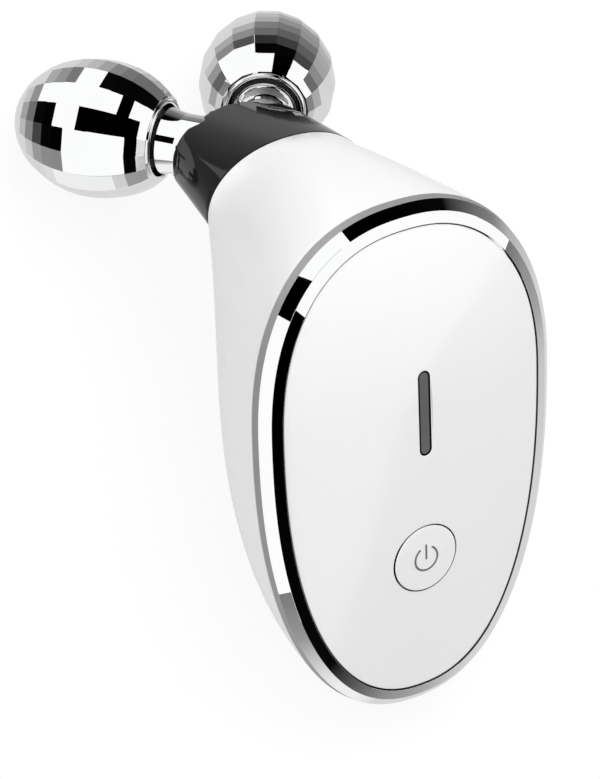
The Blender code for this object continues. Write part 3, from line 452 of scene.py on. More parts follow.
def circle(radius, height, count=round_small, middle=(0.0, 0.0)):
    """A ring of points round the z axis."""
    x, y = middle
    angles = [math.tau * i / count for i in range(count)]
    return [Vector((x + radius * math.cos(t), y + radius * math.sin(t), height)) for t in angles]


def turned(name, profile, count=round_small, ends="solid"):
    """A turned piece: loops of these radii at these heights."""
    return skin(name, [circle(radius, height, count) for radius, height in profile], ends)


def shape_with(piece, kind, **settings):
    """Gives a piece a modifier and applies it at once."""
    pick(piece)
    step = piece.modifiers.new(kind.title(), kind)
    for setting, value in settings.items():
        setattr(step, setting, value)
    bpy.ops.object.modifier_apply(modifier=step.name)
    return piece


def combine(piece, other, operation, keep=False):
    """Adds one shape to another, cuts it out or keeps what they share."""
    shape_with(piece, "BOOLEAN", operation=operation, solver="MANIFOLD", object=other)
    if not keep:
        bpy.data.objects.remove(other)
    return piece


def soften(piece, width, angle=40.0, segments=2):
    """Rounds the edges that turn by more than this angle."""
    turn = math.radians(angle)
    limits = {"limit_method": "ANGLE", "angle_limit": turn, "use_clamp_overlap": False}
    return shape_with(piece, "BEVEL", width=width, segments=segments, **limits)


def add_post(radius, low, high, place, count=round_post):
    """A round post along z."""
    deselect()
    middle = (*place, (low + high) / 2)
    bpy.ops.mesh.primitive_cylinder_add(vertices=count, radius=radius, depth=high - low, location=middle)
    return bpy.context.object


def add_block(size, middle):
    """A block of this size."""
    deselect()
    bpy.ops.mesh.primitive_cube_add(size=1.0, location=middle)
    block = bpy.context.object
    bpy.ops.transform.resize(value=size)
    bpy.ops.object.transform_apply(location=True, rotation=True, scale=True)
    return block


def copy_of(piece, name):
    """A second piece of the same shape."""
    other = piece.copy()
    other.data = piece.data.copy()
    other.name = name
    bpy.context.collection.objects.link(other)
    return other


def settle(
    piece, body, slot, material, *nodes, place=rest_place, angle=30.0, weighted=True, others=(), soft=None
):
    """Smooths a finished piece, lays it down, dresses it and lets it ride on its body.

    Others holds pairs of a material and the test for the faces that get it. Edges between soft faces
    stay smooth.
    """
    chosen = {}
    for number, (_, where) in enumerate(others, 1):
        chosen.update({face.index: number for face in piece.data.polygons if where(face)})
    pick(piece)
    bpy.ops.object.shade_smooth_by_angle(angle=math.radians(angle))
    if soft:
        bm = bmesh.new()
        bm.from_mesh(piece.data)
        for edge in bm.edges:
            edge.smooth = edge.smooth or all(soft(face) for face in edge.link_faces)
        bm.to_mesh(piece.data)
        bm.free()
    if weighted:
        shape_with(piece, "WEIGHTED_NORMAL", keep_sharp=True, weight=50)
    pick(piece)
    piece.matrix_world = place @ piece.matrix_world
    bpy.ops.object.transform_apply(location=True, rotation=True, scale=True)
    piece.data.name = piece.name
    piece.data.materials.clear()
    piece.data.materials.append(material)
    for other, _ in others:
        piece.data.materials.append(other)
    for index, number in chosen.items():
        piece.data.polygons[index].material_index = number
    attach(piece, body)
    if nodes:
        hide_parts(*nodes)
    return piece


# ---------------------------------------------------------------- the handle's forms


def egg_point(turn, half_width, top_reach, tail_reach, power):
    """A point of the egg: its x, and its y as a signed reach from the widest line."""
    c, s = math.cos(turn), math.sin(turn)
    reach = top_reach if s >= 0 else tail_reach
    x = half_width * math.copysign(abs(c) ** (2 / power), c)
    y = reach * math.copysign(abs(s) ** (2 / power), s)
    return x, y


def face_outline(inset, share=1.0, count=round_the_face):
    """The face's egg, drawn in by inset and then scaled towards its middle by share."""
    half_width, top, tail = face_half_width - inset, face_top_reach - inset, face_tail_reach - inset
    points = []
    for i in range(count):
        x, y = egg_point(math.tau * i / count, half_width, top, tail, face_power)
        points.append((x * share, y * share))
    return points


def rim_z(x, y):
    """The curved surface that the rim lies on."""
    return -side_sag * (x / face_half_width) ** 2 - top_sag * (max(y, 0.0) / face_top_reach) ** 2


def front_z(x, y):
    """The domed front of the face plate."""
    reach = face_top_reach if y >= 0 else face_tail_reach
    across = abs(x / (face_half_width - plate_inset)) ** face_power
    along = abs(y / (reach - plate_inset)) ** face_power
    spread = (across + along) ** (2 / face_power)
    return rim_z(x, y) + plate_edge_height + plate_crown * (1 - spread)


def on_front(outline, rise=0.0):
    """An outline laid on the domed front, or off it by rise."""
    return [Vector((x, y, front_z(x, y) + rise)) for x, y in outline]


def at_height(outline, z):
    """An outline laid flat at one height."""
    return [Vector((x, y, z)) for x, y in outline]


def quarter_round(edge, *angles):
    """How far a round is drawn in, and how far it lies below its crest, at these angles."""
    turns = [math.radians(angle) for angle in angles]
    return [(edge * (1 - math.cos(turn)), edge * (1 - math.sin(turn))) for turn in turns]


def bezier(points, share):
    """A point on a cubic curve through four points or numbers."""
    a, b, c, d = points
    rest = 1 - share
    return a * rest**3 + b * (3 * share * rest**2) + c * (3 * share**2 * rest) + d * share**3


def section(top, back, half_width, widest_share, power, inset, count):
    """An egg in the plane through the top and back points, square to the plane of symmetry."""
    along = (top - back).normalized()
    middle = back + (top - back) * widest_share
    up = (top - middle).length - inset
    down = (middle - back).length - inset
    points = []
    for i in range(count):
        x, reach = egg_point(math.tau * i / count, half_width - inset, up, down, power)
        y, z = middle + along * reach
        points.append(Vector((x, y, z)))
    return points


def horn_ring(share, inset=0.0, count=round_the_horn):
    """The horn's section at a share of its way from the rim to the neck."""
    top = bezier([Vector(point) for point in top_line], share)
    back = bezier([Vector(point) for point in back_line], share)
    half_width = bezier(horn_half_widths, share)
    widest = rim_widest_share + (neck_widest_share - rim_widest_share) * share
    power = face_power + (neck_power - face_power) * share
    ring = section(top, back, half_width, widest, power, inset, count)
    hold = max(0.0, 1 - share / rim_blend_share)
    if hold:
        chord = top_sag / (face_top_reach + face_tail_reach)
        for point, (x, y) in zip(ring, face_outline(inset, 1.0, count)):
            chord_z = -chord * (point.y + face_tail_reach)
            point.z += hold * (rim_z(x, y) - chord_z)
            if share == 0.0:
                point.x, point.y = x, y
    return ring


def head_ring(share, inset=0.0, count=round_the_horn):
    """The head's section at a share of its way from the neck to its end."""
    top = Vector(top_line[-1]).lerp(Vector(head_end_top), share)
    back = Vector(back_line[-1]).lerp(Vector(head_end_back), share)
    half_width = horn_half_widths[-1] + (head_end_half_width - horn_half_widths[-1]) * share
    held = min(share, 1.0)
    widest = neck_widest_share + (head_end_widest_share - neck_widest_share) * held
    power = neck_power + (head_end_power - neck_power) * held
    return section(top, back, half_width, widest, power, inset, count)


def horn_rings(inset, first, last, rows):
    """The horn's sections from one share of its way to another."""
    return [horn_ring(first + (last - first) * i / rows, inset) for i in range(rows + 1)]


def lining_rings(inset):
    """From the rim to the neck, inside the horn."""
    wide = horn_rings(inset, 0.0, spigot_start_share, lining_rows)
    return wide[:-1] + horn_rings(inset, spigot_start_share, 1.0, neck_rows)


def stadium(length, width, middle, steps=slot_steps):
    """A slot's outline along y, with round ends."""
    radius = width / 2
    reach = length / 2 - radius
    points = []
    for end, start in ((1, 0.0), (-1, math.pi)):
        for i in range(steps + 1):
            angle = start + math.pi * i / steps
            x = middle[0] + radius * math.cos(angle)
            y = middle[1] + end * reach + radius * math.sin(angle)
            points.append((x, y))
    return points


def tail_bar(name, levels):
    """A round-ended bar along y through the tail: widths, heights and places along y."""
    rings = []
    for width, height, y in levels:
        outline = stadium(width, height, (0.0, 0.0))
        rings.append([Vector((across, y, socket_z + up)) for up, across in outline])
    return skin(name, rings)


def stem_frame(side):
    """The apex of the V, with z along a stem and x square to it across the handle."""
    flat = math.cos(stem_lift)
    along = Vector((side * math.sin(stem_splay) * flat, math.sin(stem_lift), -math.cos(stem_splay) * flat))
    across = Vector((0.0, 1.0, 0.0)).cross(along).normalized() * side
    turn = Matrix((across, along.cross(across), along)).transposed().to_4x4()
    return Matrix.Translation(apex) @ turn


# ---------------------------------------------------------------- finishes


def feed(tree, socket, value):
    """Gives an input a value, or the socket that feeds it."""
    if isinstance(value, bpy.types.NodeSocket):
        tree.links.new(value, socket)
    else:
        socket.default_value = value


def add_node(tree, kind, inputs=None, **settings):
    """Adds a shader node with these settings and inputs."""
    made = tree.nodes.new("ShaderNode" + kind)
    for setting, value in settings.items():
        setattr(made, setting, value)
    for key, value in (inputs or {}).items():
        feed(tree, made.inputs[key], value)
    return made


def calculate(tree, operation, *values, **settings):
    """What a maths node makes of these values."""
    return add_node(tree, "Math", dict(enumerate(values)), operation=operation, **settings).outputs[0]


def dot(tree, one, other):
    """The dot product of two vectors."""
    return add_node(tree, "VectorMath", {0: one, 1: other}, operation="DOT_PRODUCT").outputs["Value"]


def remap(tree, value, low, high, start=0.0, end=1.0):
    """A value taken from one range to another."""
    return add_node(tree, "MapRange", {0: value, 1: low, 2: high, 3: start, 4: end}).outputs[0]


def noise(tree, place, scale, detail, **inputs):
    """Soft noise from 0 to 1."""
    inputs = {"Vector": place, "Scale": scale, "Detail": detail, **inputs}
    return add_node(tree, "TexNoise", inputs).outputs["Fac"]


def mix_colour(tree, mask, under, over):
    """Two colours mixed by a mask."""
    return add_node(tree, "Mix", {0: mask, 6: under, 7: over}, data_type="RGBA").outputs[2]


def shared_group(name, inputs, output):
    """Starts a node group: its tree, what it is given at each place, and the socket that it fills."""
    tree = bpy.data.node_groups.new(name, "ShaderNodeTree")
    for label, kind, default in (("Vector", "Vector", (0, 0, 0)), *inputs):
        socket = tree.interface.new_socket(label, in_out="INPUT", socket_type="NodeSocket" + kind)
        socket.default_value = default
    label, kind = output
    tree.interface.new_socket(label, in_out="OUTPUT", socket_type="NodeSocket" + kind)
    return tree, tree.nodes.new("NodeGroupInput").outputs, tree.nodes.new("NodeGroupOutput").inputs[label]


def scale_of(tree, size):
    """A noise scale from the size of its patches in metres."""
    return calculate(tree, "DIVIDE", 1.0, size)


def build_tone_group():
    """Slow shifts of a moulded or plated colour."""
    inputs = (("Colour", "Color", (0.8, 0.8, 0.8, 1)), ("Shift", "Float", 0.03), ("Patch Size", "Float", 0.012))
    tree, given, out = shared_group("surface_tone", inputs, ("Colour", "Color"))
    patches = noise(tree, given["Vector"], scale_of(tree, given["Patch Size"]), 3.0, Roughness=0.55)
    low = calculate(tree, "SUBTRACT", 1.0, given["Shift"])
    high = calculate(tree, "ADD", 1.0, given["Shift"])
    factor = remap(tree, patches, 0.3, 0.7, low, high)
    toned = add_node(tree, "VectorMath", {0: given["Colour"], "Scale": factor}, operation="SCALE")
    tree.links.new(toned.outputs[0], out)
    return tree


def build_gloss_group():
    """Polish that isn't even: haze in slow patches, with the wipe marks of a hand."""
    inputs = (
        ("Roughness", "Float", 0.1), ("Haze", "Float", 0.03),
        ("Smears", "Float", 0.03), ("Patch Size", "Float", 0.015),
    )
    tree, given, out = shared_group("worn_gloss", inputs, ("Roughness", "Float"))
    scale = scale_of(tree, given["Patch Size"])
    haze = remap(tree, noise(tree, given["Vector"], scale, 4.0), 0.4, 0.7, 0.0, given["Haze"])
    drawn_out = {"Vector": given["Vector"], "Rotation": (0.4, 0.3, 0.9), "Scale": (1.0, 6.0, 2.0)}
    wiped = add_node(tree, "Mapping", drawn_out).outputs[0]
    wipes = noise(tree, wiped, scale, 6.0, Roughness=0.7, Distortion=0.6)
    smears = remap(tree, wipes, 0.55, 0.8, 0.0, given["Smears"])
    both = calculate(tree, "ADD", haze, smears)
    tree.links.new(calculate(tree, "ADD", both, given["Roughness"]), out)
    return tree


def build_relief_group():
    """The faint ripple and fine grain of a moulded or polished skin, as a height."""
    inputs = (("Ripple Size", "Float", 0.004), ("Grain Size", "Float", 0.0003), ("Grain Share", "Float", 0.2))
    tree, given, out = shared_group("skin_relief", inputs, ("Height", "Float"))
    ripple = noise(tree, given["Vector"], scale_of(tree, given["Ripple Size"]), 1.0)
    grain = noise(tree, given["Vector"], scale_of(tree, given["Grain Size"]), 2.0)
    mixed = add_node(tree, "Mix", {0: given["Grain Share"], 2: ripple, 3: grain})
    tree.links.new(mixed.outputs[0], out)
    return tree


def build_wear_group():
    """A mask of rubbed edges and corners, broken up by noise."""
    inputs = (("Amount", "Float", 0.5), ("Patch Size", "Float", 0.003))
    tree, given, out = shared_group("edge_wear", inputs, ("Mask", "Float"))
    edge = remap(tree, add_node(tree, "NewGeometry").outputs["Pointiness"], 0.53, 0.60)
    patches = noise(tree, given["Vector"], scale_of(tree, given["Patch Size"]), 4.0)
    both = calculate(tree, "MULTIPLY", edge, remap(tree, patches, 0.4, 0.65))
    tree.links.new(calculate(tree, "MULTIPLY", both, given["Amount"], use_clamp=True), out)
    return tree


def build_dust_group():
    """A mask of fine dust that has settled on what faces up."""
    inputs = (("Amount", "Float", 0.1), ("Speck Size", "Float", 0.0004))
    tree, given, out = shared_group("settled_dust", inputs, ("Mask", "Float"))
    up = dot(tree, add_node(tree, "NewGeometry").outputs["Normal"], (0.0, 0.0, 1.0))
    cells = {"Vector": given["Vector"], "Scale": scale_of(tree, given["Speck Size"]), "Randomness": 1.0}
    specks = remap(tree, add_node(tree, "TexVoronoi", cells).outputs["Distance"], 0.08, 0.2, 1.0, 0.0)
    veil = remap(tree, noise(tree, given["Vector"], dust_veil_scale, 3.0), 0.45, 0.75)
    spread = calculate(tree, "MULTIPLY", specks, veil)
    lying = calculate(tree, "MULTIPLY", spread, remap(tree, up, 0.1, 0.9))
    tree.links.new(calculate(tree, "MULTIPLY", lying, given["Amount"], use_clamp=True), out)
    return tree


group_builders = {
    "surface_tone": build_tone_group,
    "worn_gloss": build_gloss_group,
    "skin_relief": build_relief_group,
    "edge_wear": build_wear_group,
    "settled_dust": build_dust_group,
}


def use_group(tree, name, place, **inputs):
    """Places a shared group, building it the first time."""
    made = tree.nodes.new("ShaderNodeGroup")
    made.node_tree = bpy.data.node_groups.get(name) or group_builders[name]()
    for key, value in {"vector": place, **inputs}.items():
        feed(tree, made.inputs[key.replace("_", " ").title()], value)
    return made.outputs[0]


def finish(name, colour, roughness, metallic=0.0, shift=0.02, haze=0.02, smears=0.02, patch=0.014,
           ripple=0.004, grain=0.0003, grain_share=0.2, relief=0.000004, wear=0.0, worn=(0.6, 0.6, 0.6),
           dust=0.0, coat=0.0, coat_roughness=0.05, specular=0.5, pattern=None):
    """A material: toned colour, uneven polish and fine relief, with rubbed edges and dust where asked."""
    found = bpy.data.materials.get(name)
    if found:
        return found
    material = bpy.data.materials.new(name)
    material.use_nodes = True
    tree = material.node_tree
    place = add_node(tree, "TexCoord").outputs["Object"]
    base = (*colour, 1.0)
    if pattern:
        base = pattern(tree, place, base)
    tone = use_group(tree, "surface_tone", place, colour=base, shift=shift, patch_size=patch)
    gloss = use_group(
        tree, "worn_gloss", place, roughness=roughness, haze=haze, smears=smears, patch_size=patch
    )
    if wear:
        tone = mix_colour(tree, use_group(tree, "edge_wear", place, amount=wear), tone, (*worn, 1.0))
    if dust:
        mask = use_group(tree, "settled_dust", place, amount=dust)
        tone = mix_colour(tree, mask, tone, (*dust_colour, 1.0))
        gloss = remap(tree, mask, 0.0, 1.0, gloss, dust_roughness)
    height = use_group(
        tree, "skin_relief", place, ripple_size=ripple, grain_size=grain, grain_share=grain_share
    )
    bump = add_node(tree, "Bump", {"Strength": 1.0, "Distance": relief, "Height": height})
    inputs = {"Base Color": tone, "Roughness": gloss, "Normal": bump.outputs[0], "Metallic": metallic}
    inputs.update({"Specular IOR Level": specular, "Coat Weight": coat, "Coat Roughness": coat_roughness})
    for key, value in inputs.items():
        feed(tree, tree.nodes["Principled BSDF"].inputs[key], value)
    return material


def bright_chrome(name="bright_chrome", roughness=0.008):
    """Polished plating that mirrors the studio."""
    return finish(
        name, tuple(bpy.context.scene.massager_colours.chrome), roughness, metallic=1.0,
        shift=0.012, haze=0.002, smears=0.004, patch=0.02, relief=0.0000004, ripple=0.006, grain_share=0.05,
        wear=0.12, worn=(0.62, 0.62, 0.61),
    )


def gloss_white(name, colour, roughness=0.10):
    """A white glossy moulding, with a little dust."""
    return finish(
        name, colour, roughness,
        shift=0.006, haze=0.03, smears=0.03, patch=0.02,
        relief=0.0000015, ripple=0.007, grain_share=0.03, dust=0.05,
    )


def gap_shade_finish(name, level, specular):
    """A dull grey that paints shade on the walls that face a gap."""
    return finish(
        name, (level, level, level), roughness=0.6,
        shift=0.08, haze=0.05, patch=0.002, relief=0.000006, ripple=0.0006, specular=specular,
    )


def gap_shade_black():
    """Painted shade: a near-black for the skirts, walls and bores in the gaps between the mouldings, so that
    the gaps read as lines.
    """
    return gap_shade_finish("gap_shade_black", 0.005, 0.01)


def rim_shade_grey():
    """Painted shade: a grey for the plate's rim, where it lies in the shade of the ring."""
    return gap_shade_finish("rim_shade_grey", 0.25, 0.1)


def shaded(base, factor):
    """A colour made lighter or darker by a factor."""
    return (*(min(1.0, part * factor) for part in base[:3]), 1.0)


def board_pattern(tree, place, base):
    """Copper tracks under the green mask, with bare tinned pads."""
    black, white = (0.0, 0.0, 0.0, 1.0), (1.0, 1.0, 1.0, 1.0)
    along_face = add_node(tree, "Mapping", {"Vector": place, "Rotation": (-rest_tilt, 0.0, 0.0)}).outputs[0]
    bricks = {"Vector": along_face, "Color1": black, "Color2": black, "Mortar": white, "Scale": 260.0}
    tracks = add_node(tree, "TexBrick", {**bricks, "Mortar Size": 0.035, "Brick Width": 1.3})
    lit = mix_colour(tree, tracks.outputs["Color"], base, (0.06, 0.33, 0.15, 1.0))
    cells = add_node(tree, "TexVoronoi", {"Vector": along_face, "Scale": 420.0, "Randomness": 0.35})
    pads = remap(tree, cells.outputs["Distance"], 0.12, 0.16, 1.0, 0.0)
    return mix_colour(tree, pads, lit, (0.62, 0.60, 0.55, 1.0))


def lined(scale, distortion, detail, factor):
    """A pattern of fine lines in a lighter or darker shade of the colour."""
    def pattern(tree, place, base):
        wave = {"Vector": place, "Scale": scale, "Distortion": distortion, "Detail": detail}
        lines = add_node(tree, "TexWave", wave).outputs["Fac"]
        return mix_colour(tree, lines, base, shaded(base, factor))

    return pattern


# The drawn lines of a sheath, the pressed seams of a pouch cell, and the lines left by turning
strand_pattern = lined(900.0, 3.0, 2.0, 1.25)
foil_pattern = lined(160.0, 1.2, 3.0, 0.82)
turned_pattern = lined(700.0, 0.6, 1.0, 0.7)


# ---------------------------------------------------------------- pieces


class MASSAGER_OT_model_shell(bpy.types.Operator):
    """Model the white horn: its wall, screw pillars, lugs and socket opening"""

    bl_idname = "massager.model_shell"
    bl_label = "Horn shell"

    def execute(self, context):
        sizes, colours = context.scene.massager_sizes, context.scene.massager_colours
        outer = horn_rings(0.0, 0.0, 1.0, horn_rows)
        shell = skin("horn_shell", outer + lining_rings(shell_wall)[::-1] + [outer[0]], "loop")
        soften(shell, sizes.edge_round)
        self.add_holders(shell)
        self.open_tail(shell)
        white = gloss_white("white_gloss", tuple(colours.shell), roughness=0.22)
        settle(shell, "body", "white_shell", white, "body_shell")
        return {"FINISHED"}

    def add_holders(self, shell):
        """Joins the pillars, lugs and pad to the wall, and bores them."""
        half_wall = shell_wall / 2
        ahead = [point + Vector((0.0, 0.0, overrun)) for point in horn_ring(0.0, half_wall)]
        form = skin("shell_form", [ahead, *lining_rings(half_wall), head_ring(form_end_share, half_wall)])
        holders = [add_post(pillar_radius, back_line[-1][1], pillar_top, place) for place in screw_places]
        for side in (-1, 1):
            holders.append(add_block(lug_size, (side * lug_place[0], *lug_place[1:])))
        holders.append(add_block(pad_size, (0.0, land_y + pad_size[1] / 2 - seam_gap, socket_z)))
        for holder in holders:
            combine(holder, form, "INTERSECT", keep=True)
            combine(shell, holder, "UNION")
        bpy.data.objects.remove(form)
        for place in screw_places:
            hole = add_post(pillar_hole_radius, pillar_top - pillar_hole_depth, pillar_top + overrun, place)
            combine(shell, hole, "DIFFERENCE")
        low, high = lug_place[2] - lug_size[2], lug_place[2] + lug_size[2]
        for side in (-1, 1):
            hole = add_post(screw_hole_radius, low, high, (side * lug_screw_x, lug_place[1]))
            combine(shell, hole, "DIFFERENCE")

    def open_tail(self, shell):
        """Cuts the flat land and the socket's slot, with a small round at its mouth."""
        land = tail_bar("land_cutter", ((*land_size, land_y - overrun), (*land_size, land_y)))
        combine(shell, land, "DIFFERENCE")
        width, height = socket_slot
        wide = (width + 2 * socket_edge, height + 2 * socket_edge)
        wider = (width + 4 * socket_edge, height + 4 * socket_edge)
        levels = (
            (*wider, land_y - socket_edge),
            (*wide, land_y),
            (width, height, land_y + socket_edge),
            (width, height, land_y + overrun),
        )
        combine(shell, tail_bar("slot_cutter", levels), "DIFFERENCE")


class MASSAGER_OT_model_ring(bpy.types.Operator):
    """Model the chrome bezel, with its satin side wall"""

    bl_idname = "massager.model_ring"
    bl_label = "Trim ring"

    def execute(self, context):
        rings = []
        for inset, height in (*ring_profile, ring_profile[0]):
            rings.append([Vector((x, y, rim_z(x, y) + height)) for x, y in face_outline(inset)])
        bezel = skin("trim_bezel", rings, "loop")
        soften(bezel, context.scene.massager_sizes.ring_edge_round, ring_round_angle, segments=1)
        satin = finish(
            "satin_chrome", (0.34, 0.34, 0.343), roughness=0.5, metallic=0.35,
            shift=0.02, haze=0.05, patch=0.01, relief=0.000004, ripple=0.0008, grain=0.0001, grain_share=0.7,
        )
        side = ((satin, self.on_side_wall),)
        settle(bezel, "body", "chrome", bright_chrome(), "trim_ring", angle=ring_sharp_angle, others=side)
        return {"FINISHED"}

    def on_side_wall(self, face):
        """Whether a face is on the bezel's low outer wall, within the wall's draft."""
        x, y, z = face.center
        normal = face.normal
        steep = math.hypot(normal.x, normal.y) > ring_wall_steepness and normal.x * x + normal.y * y > 0.0
        reach = face_top_reach if y >= 0 else face_tail_reach
        spread = (abs(x / face_half_width) ** face_power + abs(y / reach) ** face_power) ** (1 / face_power)
        return steep and z - rim_z(x, y) < ring_wall_height and spread > ring_wall_share


class MASSAGER_OT_model_plate(bpy.types.Operator):
    """Model the domed face plate and the smoked light bar in it"""

    bl_idname = "massager.model_plate"
    bl_label = "Face plate and light bar"

    def execute(self, context):
        sizes, colours = context.scene.massager_sizes, context.scene.massager_colours
        edge, mouth = sizes.edge_round, sizes.opening_round
        rings = [on_front(face_outline(plate_inset, share), -plate_thickness) for share in plate_back_shares]
        rings.append(on_front(face_outline(plate_inset), -edge))
        for draw_in, drop in quarter_round(edge, 30.0, 60.0, 90.0):
            rings.append(on_front(face_outline(plate_inset + draw_in), -drop))
        for i in range(1, dome_rows):
            rings.append(on_front(face_outline(plate_inset + edge, 1 - i / dome_rows)))
        plate = skin("dome_plate", rings, "tip")
        combine(plate, self.opening("button_hole", self.button_hole, mouth), "DIFFERENCE")
        front = front_z(0.0, button_y)
        pocket_radius = button_radius + button_flange + 2 * touch_gap
        low, high = front - overrun, front - button_pocket_depth
        combine(plate, add_post(pocket_radius, low, high, (0.0, button_y), round_small), "DIFFERENCE")
        combine(plate, self.opening("bar_slot", self.bar_slot, mouth), "DIFFERENCE")
        white = gloss_white("plate_gloss", tuple(colours.plate))
        # The plate's outer wall gets a grey of painted shade, and the walls of its openings a near-black of
        # painted shade, so that the gaps read as lines
        dark = ((rim_shade_grey(), self.on_rim), (gap_shade_black(), self.on_opening))
        settle(plate, "body", "white_plate", white, "face_plate", others=dark)
        self.model_bar(mouth, tuple(colours.light_bar))
        return {"FINISHED"}

    def on_rim(self, face):
        """Whether a face is on the plate's outer wall, or on the wall of an opening in it."""
        return abs(face.normal.z) < wall_lean

    def on_opening(self, face):
        """Whether a face is on the wall of an opening in the plate."""
        x, y, _ = face.center
        near = min(math.hypot(x, y - button_y), math.hypot(x, y - bar_y))
        return self.on_rim(face) and near < bar_length / 2 + seam_gap

    def button_hole(self, grow):
        """The button's hole, grown by this much."""
        hole = circle(button_radius + button_gap + grow, 0.0, middle=(0.0, button_y))
        return [(point.x, point.y) for point in hole]

    def bar_outline(self, grow):
        """The bar's outline, grown by this much."""
        return stadium(bar_length + 2 * grow, bar_width + 2 * grow, (0.0, bar_y))

    def bar_slot(self, grow):
        """The bar's slot, grown by this much."""
        return self.bar_outline(bar_gap + grow)

    def opening(self, name, outline, edge):
        """A cutter through the plate that rounds the opening's edge along the dome."""
        rings = [at_height(outline(0.0), bar_foot_z)]
        for grow, rise in (*opening_steps, opening_flare):
            rings.append(on_front(outline(grow * edge), rise * edge))
        rings.append(on_front(outline(opening_flare[0] * edge), overrun))
        return skin(name, rings)

    def model_bar(self, edge, colour):
        """The smoked light bar: foot, flange behind the plate and a softly rounded front."""
        reach = bar_length / 2 + bar_flange
        lowest = min(front_z(bar_width / 2 + bar_flange, bar_y + end * reach) for end in (-1, 1))
        flange_front = lowest - plate_thickness - touch_gap
        flange_back = flange_front - bar_flange_thickness
        levels = (
            (0.0, bar_foot_z),
            (0.0, flange_back),
            (bar_flange, flange_back),
            (bar_flange, flange_front),
            (0.0, flange_front),
        )
        rings = [at_height(self.bar_outline(grow), z) for grow, z in levels]
        for grow, rise in opening_steps:
            rings.append(on_front(self.bar_outline(-grow * edge), rise * edge - bar_recess))
        for draw_in in (bar_shade_band, 2 * bar_shade_band):
            rings.append(on_front(self.bar_outline(-draw_in), -bar_recess))
        bar = skin("light_bar", rings)
        smoke = finish(
            "smoked_lens", colour, roughness=0.22,
            shift=0.03, haze=0.05, smears=0.05, patch=0.004, relief=0.000002, ripple=0.002, coat=0.3,
        )
        # The bar's side and the band round its front get the near-black of painted shade, for the shade in the
        # slot round the bar
        border = ((gap_shade_black(), self.on_bar_shade_band),)
        settle(bar, "body", "lens_smoke", smoke, "indicator_lens", others=border)

    def on_bar_shade_band(self, face):
        """Whether a face is on the bar's side or on the band round its front, which get painted shade."""
        x, y, _ = face.center
        reach = max(abs(y - bar_y) - (bar_length - bar_width) / 2, 0.0)
        return math.hypot(x, reach) > bar_width / 2 - bar_shade_band


class MASSAGER_OT_model_button(bpy.types.Operator):
    """Model the power button, crowned like the plate, and the mark printed on it"""

    bl_idname = "massager.model_button"
    bl_label = "Power button"

    def execute(self, context):
        sizes, colours = context.scene.massager_sizes, context.scene.massager_colours
        front = front_z(0.0, button_y)
        flange_top = front - button_pocket_depth - touch_gap
        flange_back = flange_top - button_flange_thickness
        wide = button_radius + button_flange
        profile = (
            (button_stub_radius, flange_back - button_stub_length),
            (button_stub_radius, flange_back),
            (wide, flange_back),
            (wide, flange_top),
            (button_radius, flange_top),
        )
        rings = [circle(radius, height, middle=(0.0, button_y)) for radius, height in profile]
        edge = sizes.button_edge_round
        for draw_in, drop in quarter_round(edge, 0.0, 22.0, 45.0, 67.0, 90.0):
            rings.append(self.crowned(button_radius - draw_in, drop))
        for i in range(1, crown_rows):
            rings.append(self.crowned((button_radius - edge) * (1 - i / crown_rows)))
        cap = skin("power_cap", rings, "tip")
        white = gloss_white("plate_gloss", tuple(colours.plate))
        # The button's upright side gets the near-black of painted shade, so that the gap round the button reads
        # as a dark line
        skirt = ((gap_shade_black(), self.on_skirt),)
        settle(cap, "button", "white_plate", white, "power_button", others=skirt)
        self.model_mark(sizes, tuple(colours.mark))
        return {"FINISHED"}

    def on_skirt(self, face):
        """Whether a face is on the button's upright side."""
        x, y, _ = face.center
        return abs(face.normal.z) < skirt_lean and math.hypot(x, y - button_y) > button_radius - wall_slack

    def crown_z(self, x, y):
        """The button's front: the plate's dome, held level above the middle and set proud."""
        return min(front_z(x, y), front_z(0.0, button_y)) + button_proud

    def crowned(self, radius, drop=0.0):
        """A ring on the button's crown."""
        points = circle(radius, 0.0, middle=(0.0, button_y))
        return [Vector((point.x, point.y, self.crown_z(point.x, point.y) - drop)) for point in points]

    def model_mark(self, sizes, colour):
        """The open ring and the bar of the usual power mark, as a thin print on the crown."""
        half_open = sizes.mark_opening / 2
        middles = []
        for i in range(mark_steps + 1):
            angle = math.pi / 2 + half_open + (math.tau - 2 * half_open) * i / mark_steps
            x, y = sizes.mark_radius * math.cos(angle), sizes.mark_radius * math.sin(angle)
            middles.append((x, button_y + y))
        arc = self.print_line("power_arc", middles, sizes)
        upright = [(0.0, button_y + mark_bar_length * i / mark_bar_steps) for i in range(mark_bar_steps + 1)]
        bar = self.print_line("power_bar", upright, sizes)
        pick(arc)
        bar.select_set(True)
        bpy.ops.object.join()
        arc.name = "power_mark"
        ink = finish(
            "mark_print", colour, roughness=0.35,
            shift=0.05, haze=0.05, patch=0.002, relief=0.000002, ripple=0.0005,
        )
        settle(arc, "button", "white_plate", ink, weighted=False)

    def print_line(self, name, middles, sizes):
        """A raised line of even width with round ends: a loop that follows both sides of its path."""
        outline = []
        half = sizes.mark_stroke / 2
        last = len(middles) - 1
        for side, order in ((1, range(last + 1)), (-1, range(last, -1, -1))):
            for i in order:
                middle = Vector(middles[i])
                ahead, behind = Vector(middles[min(i + 1, last)]), Vector(middles[max(i - 1, 0)])
                along = (ahead - behind).normalized() * side
                across = Vector((along.y, -along.x))
                outline.append(middle + across * half)
                if i == (last if side == 1 else 0):
                    for turn in (30, 60, 90, 120, 150):
                        step = across * math.cos(math.radians(turn)) + along * math.sin(math.radians(turn))
                        outline.append(middle + step * half)
        rings = []
        for rise in (-sizes.mark_height, sizes.mark_height):
            rings.append([Vector((x, y, self.crown_z(x, y) + rise)) for x, y in outline])
        return skin(name, rings)


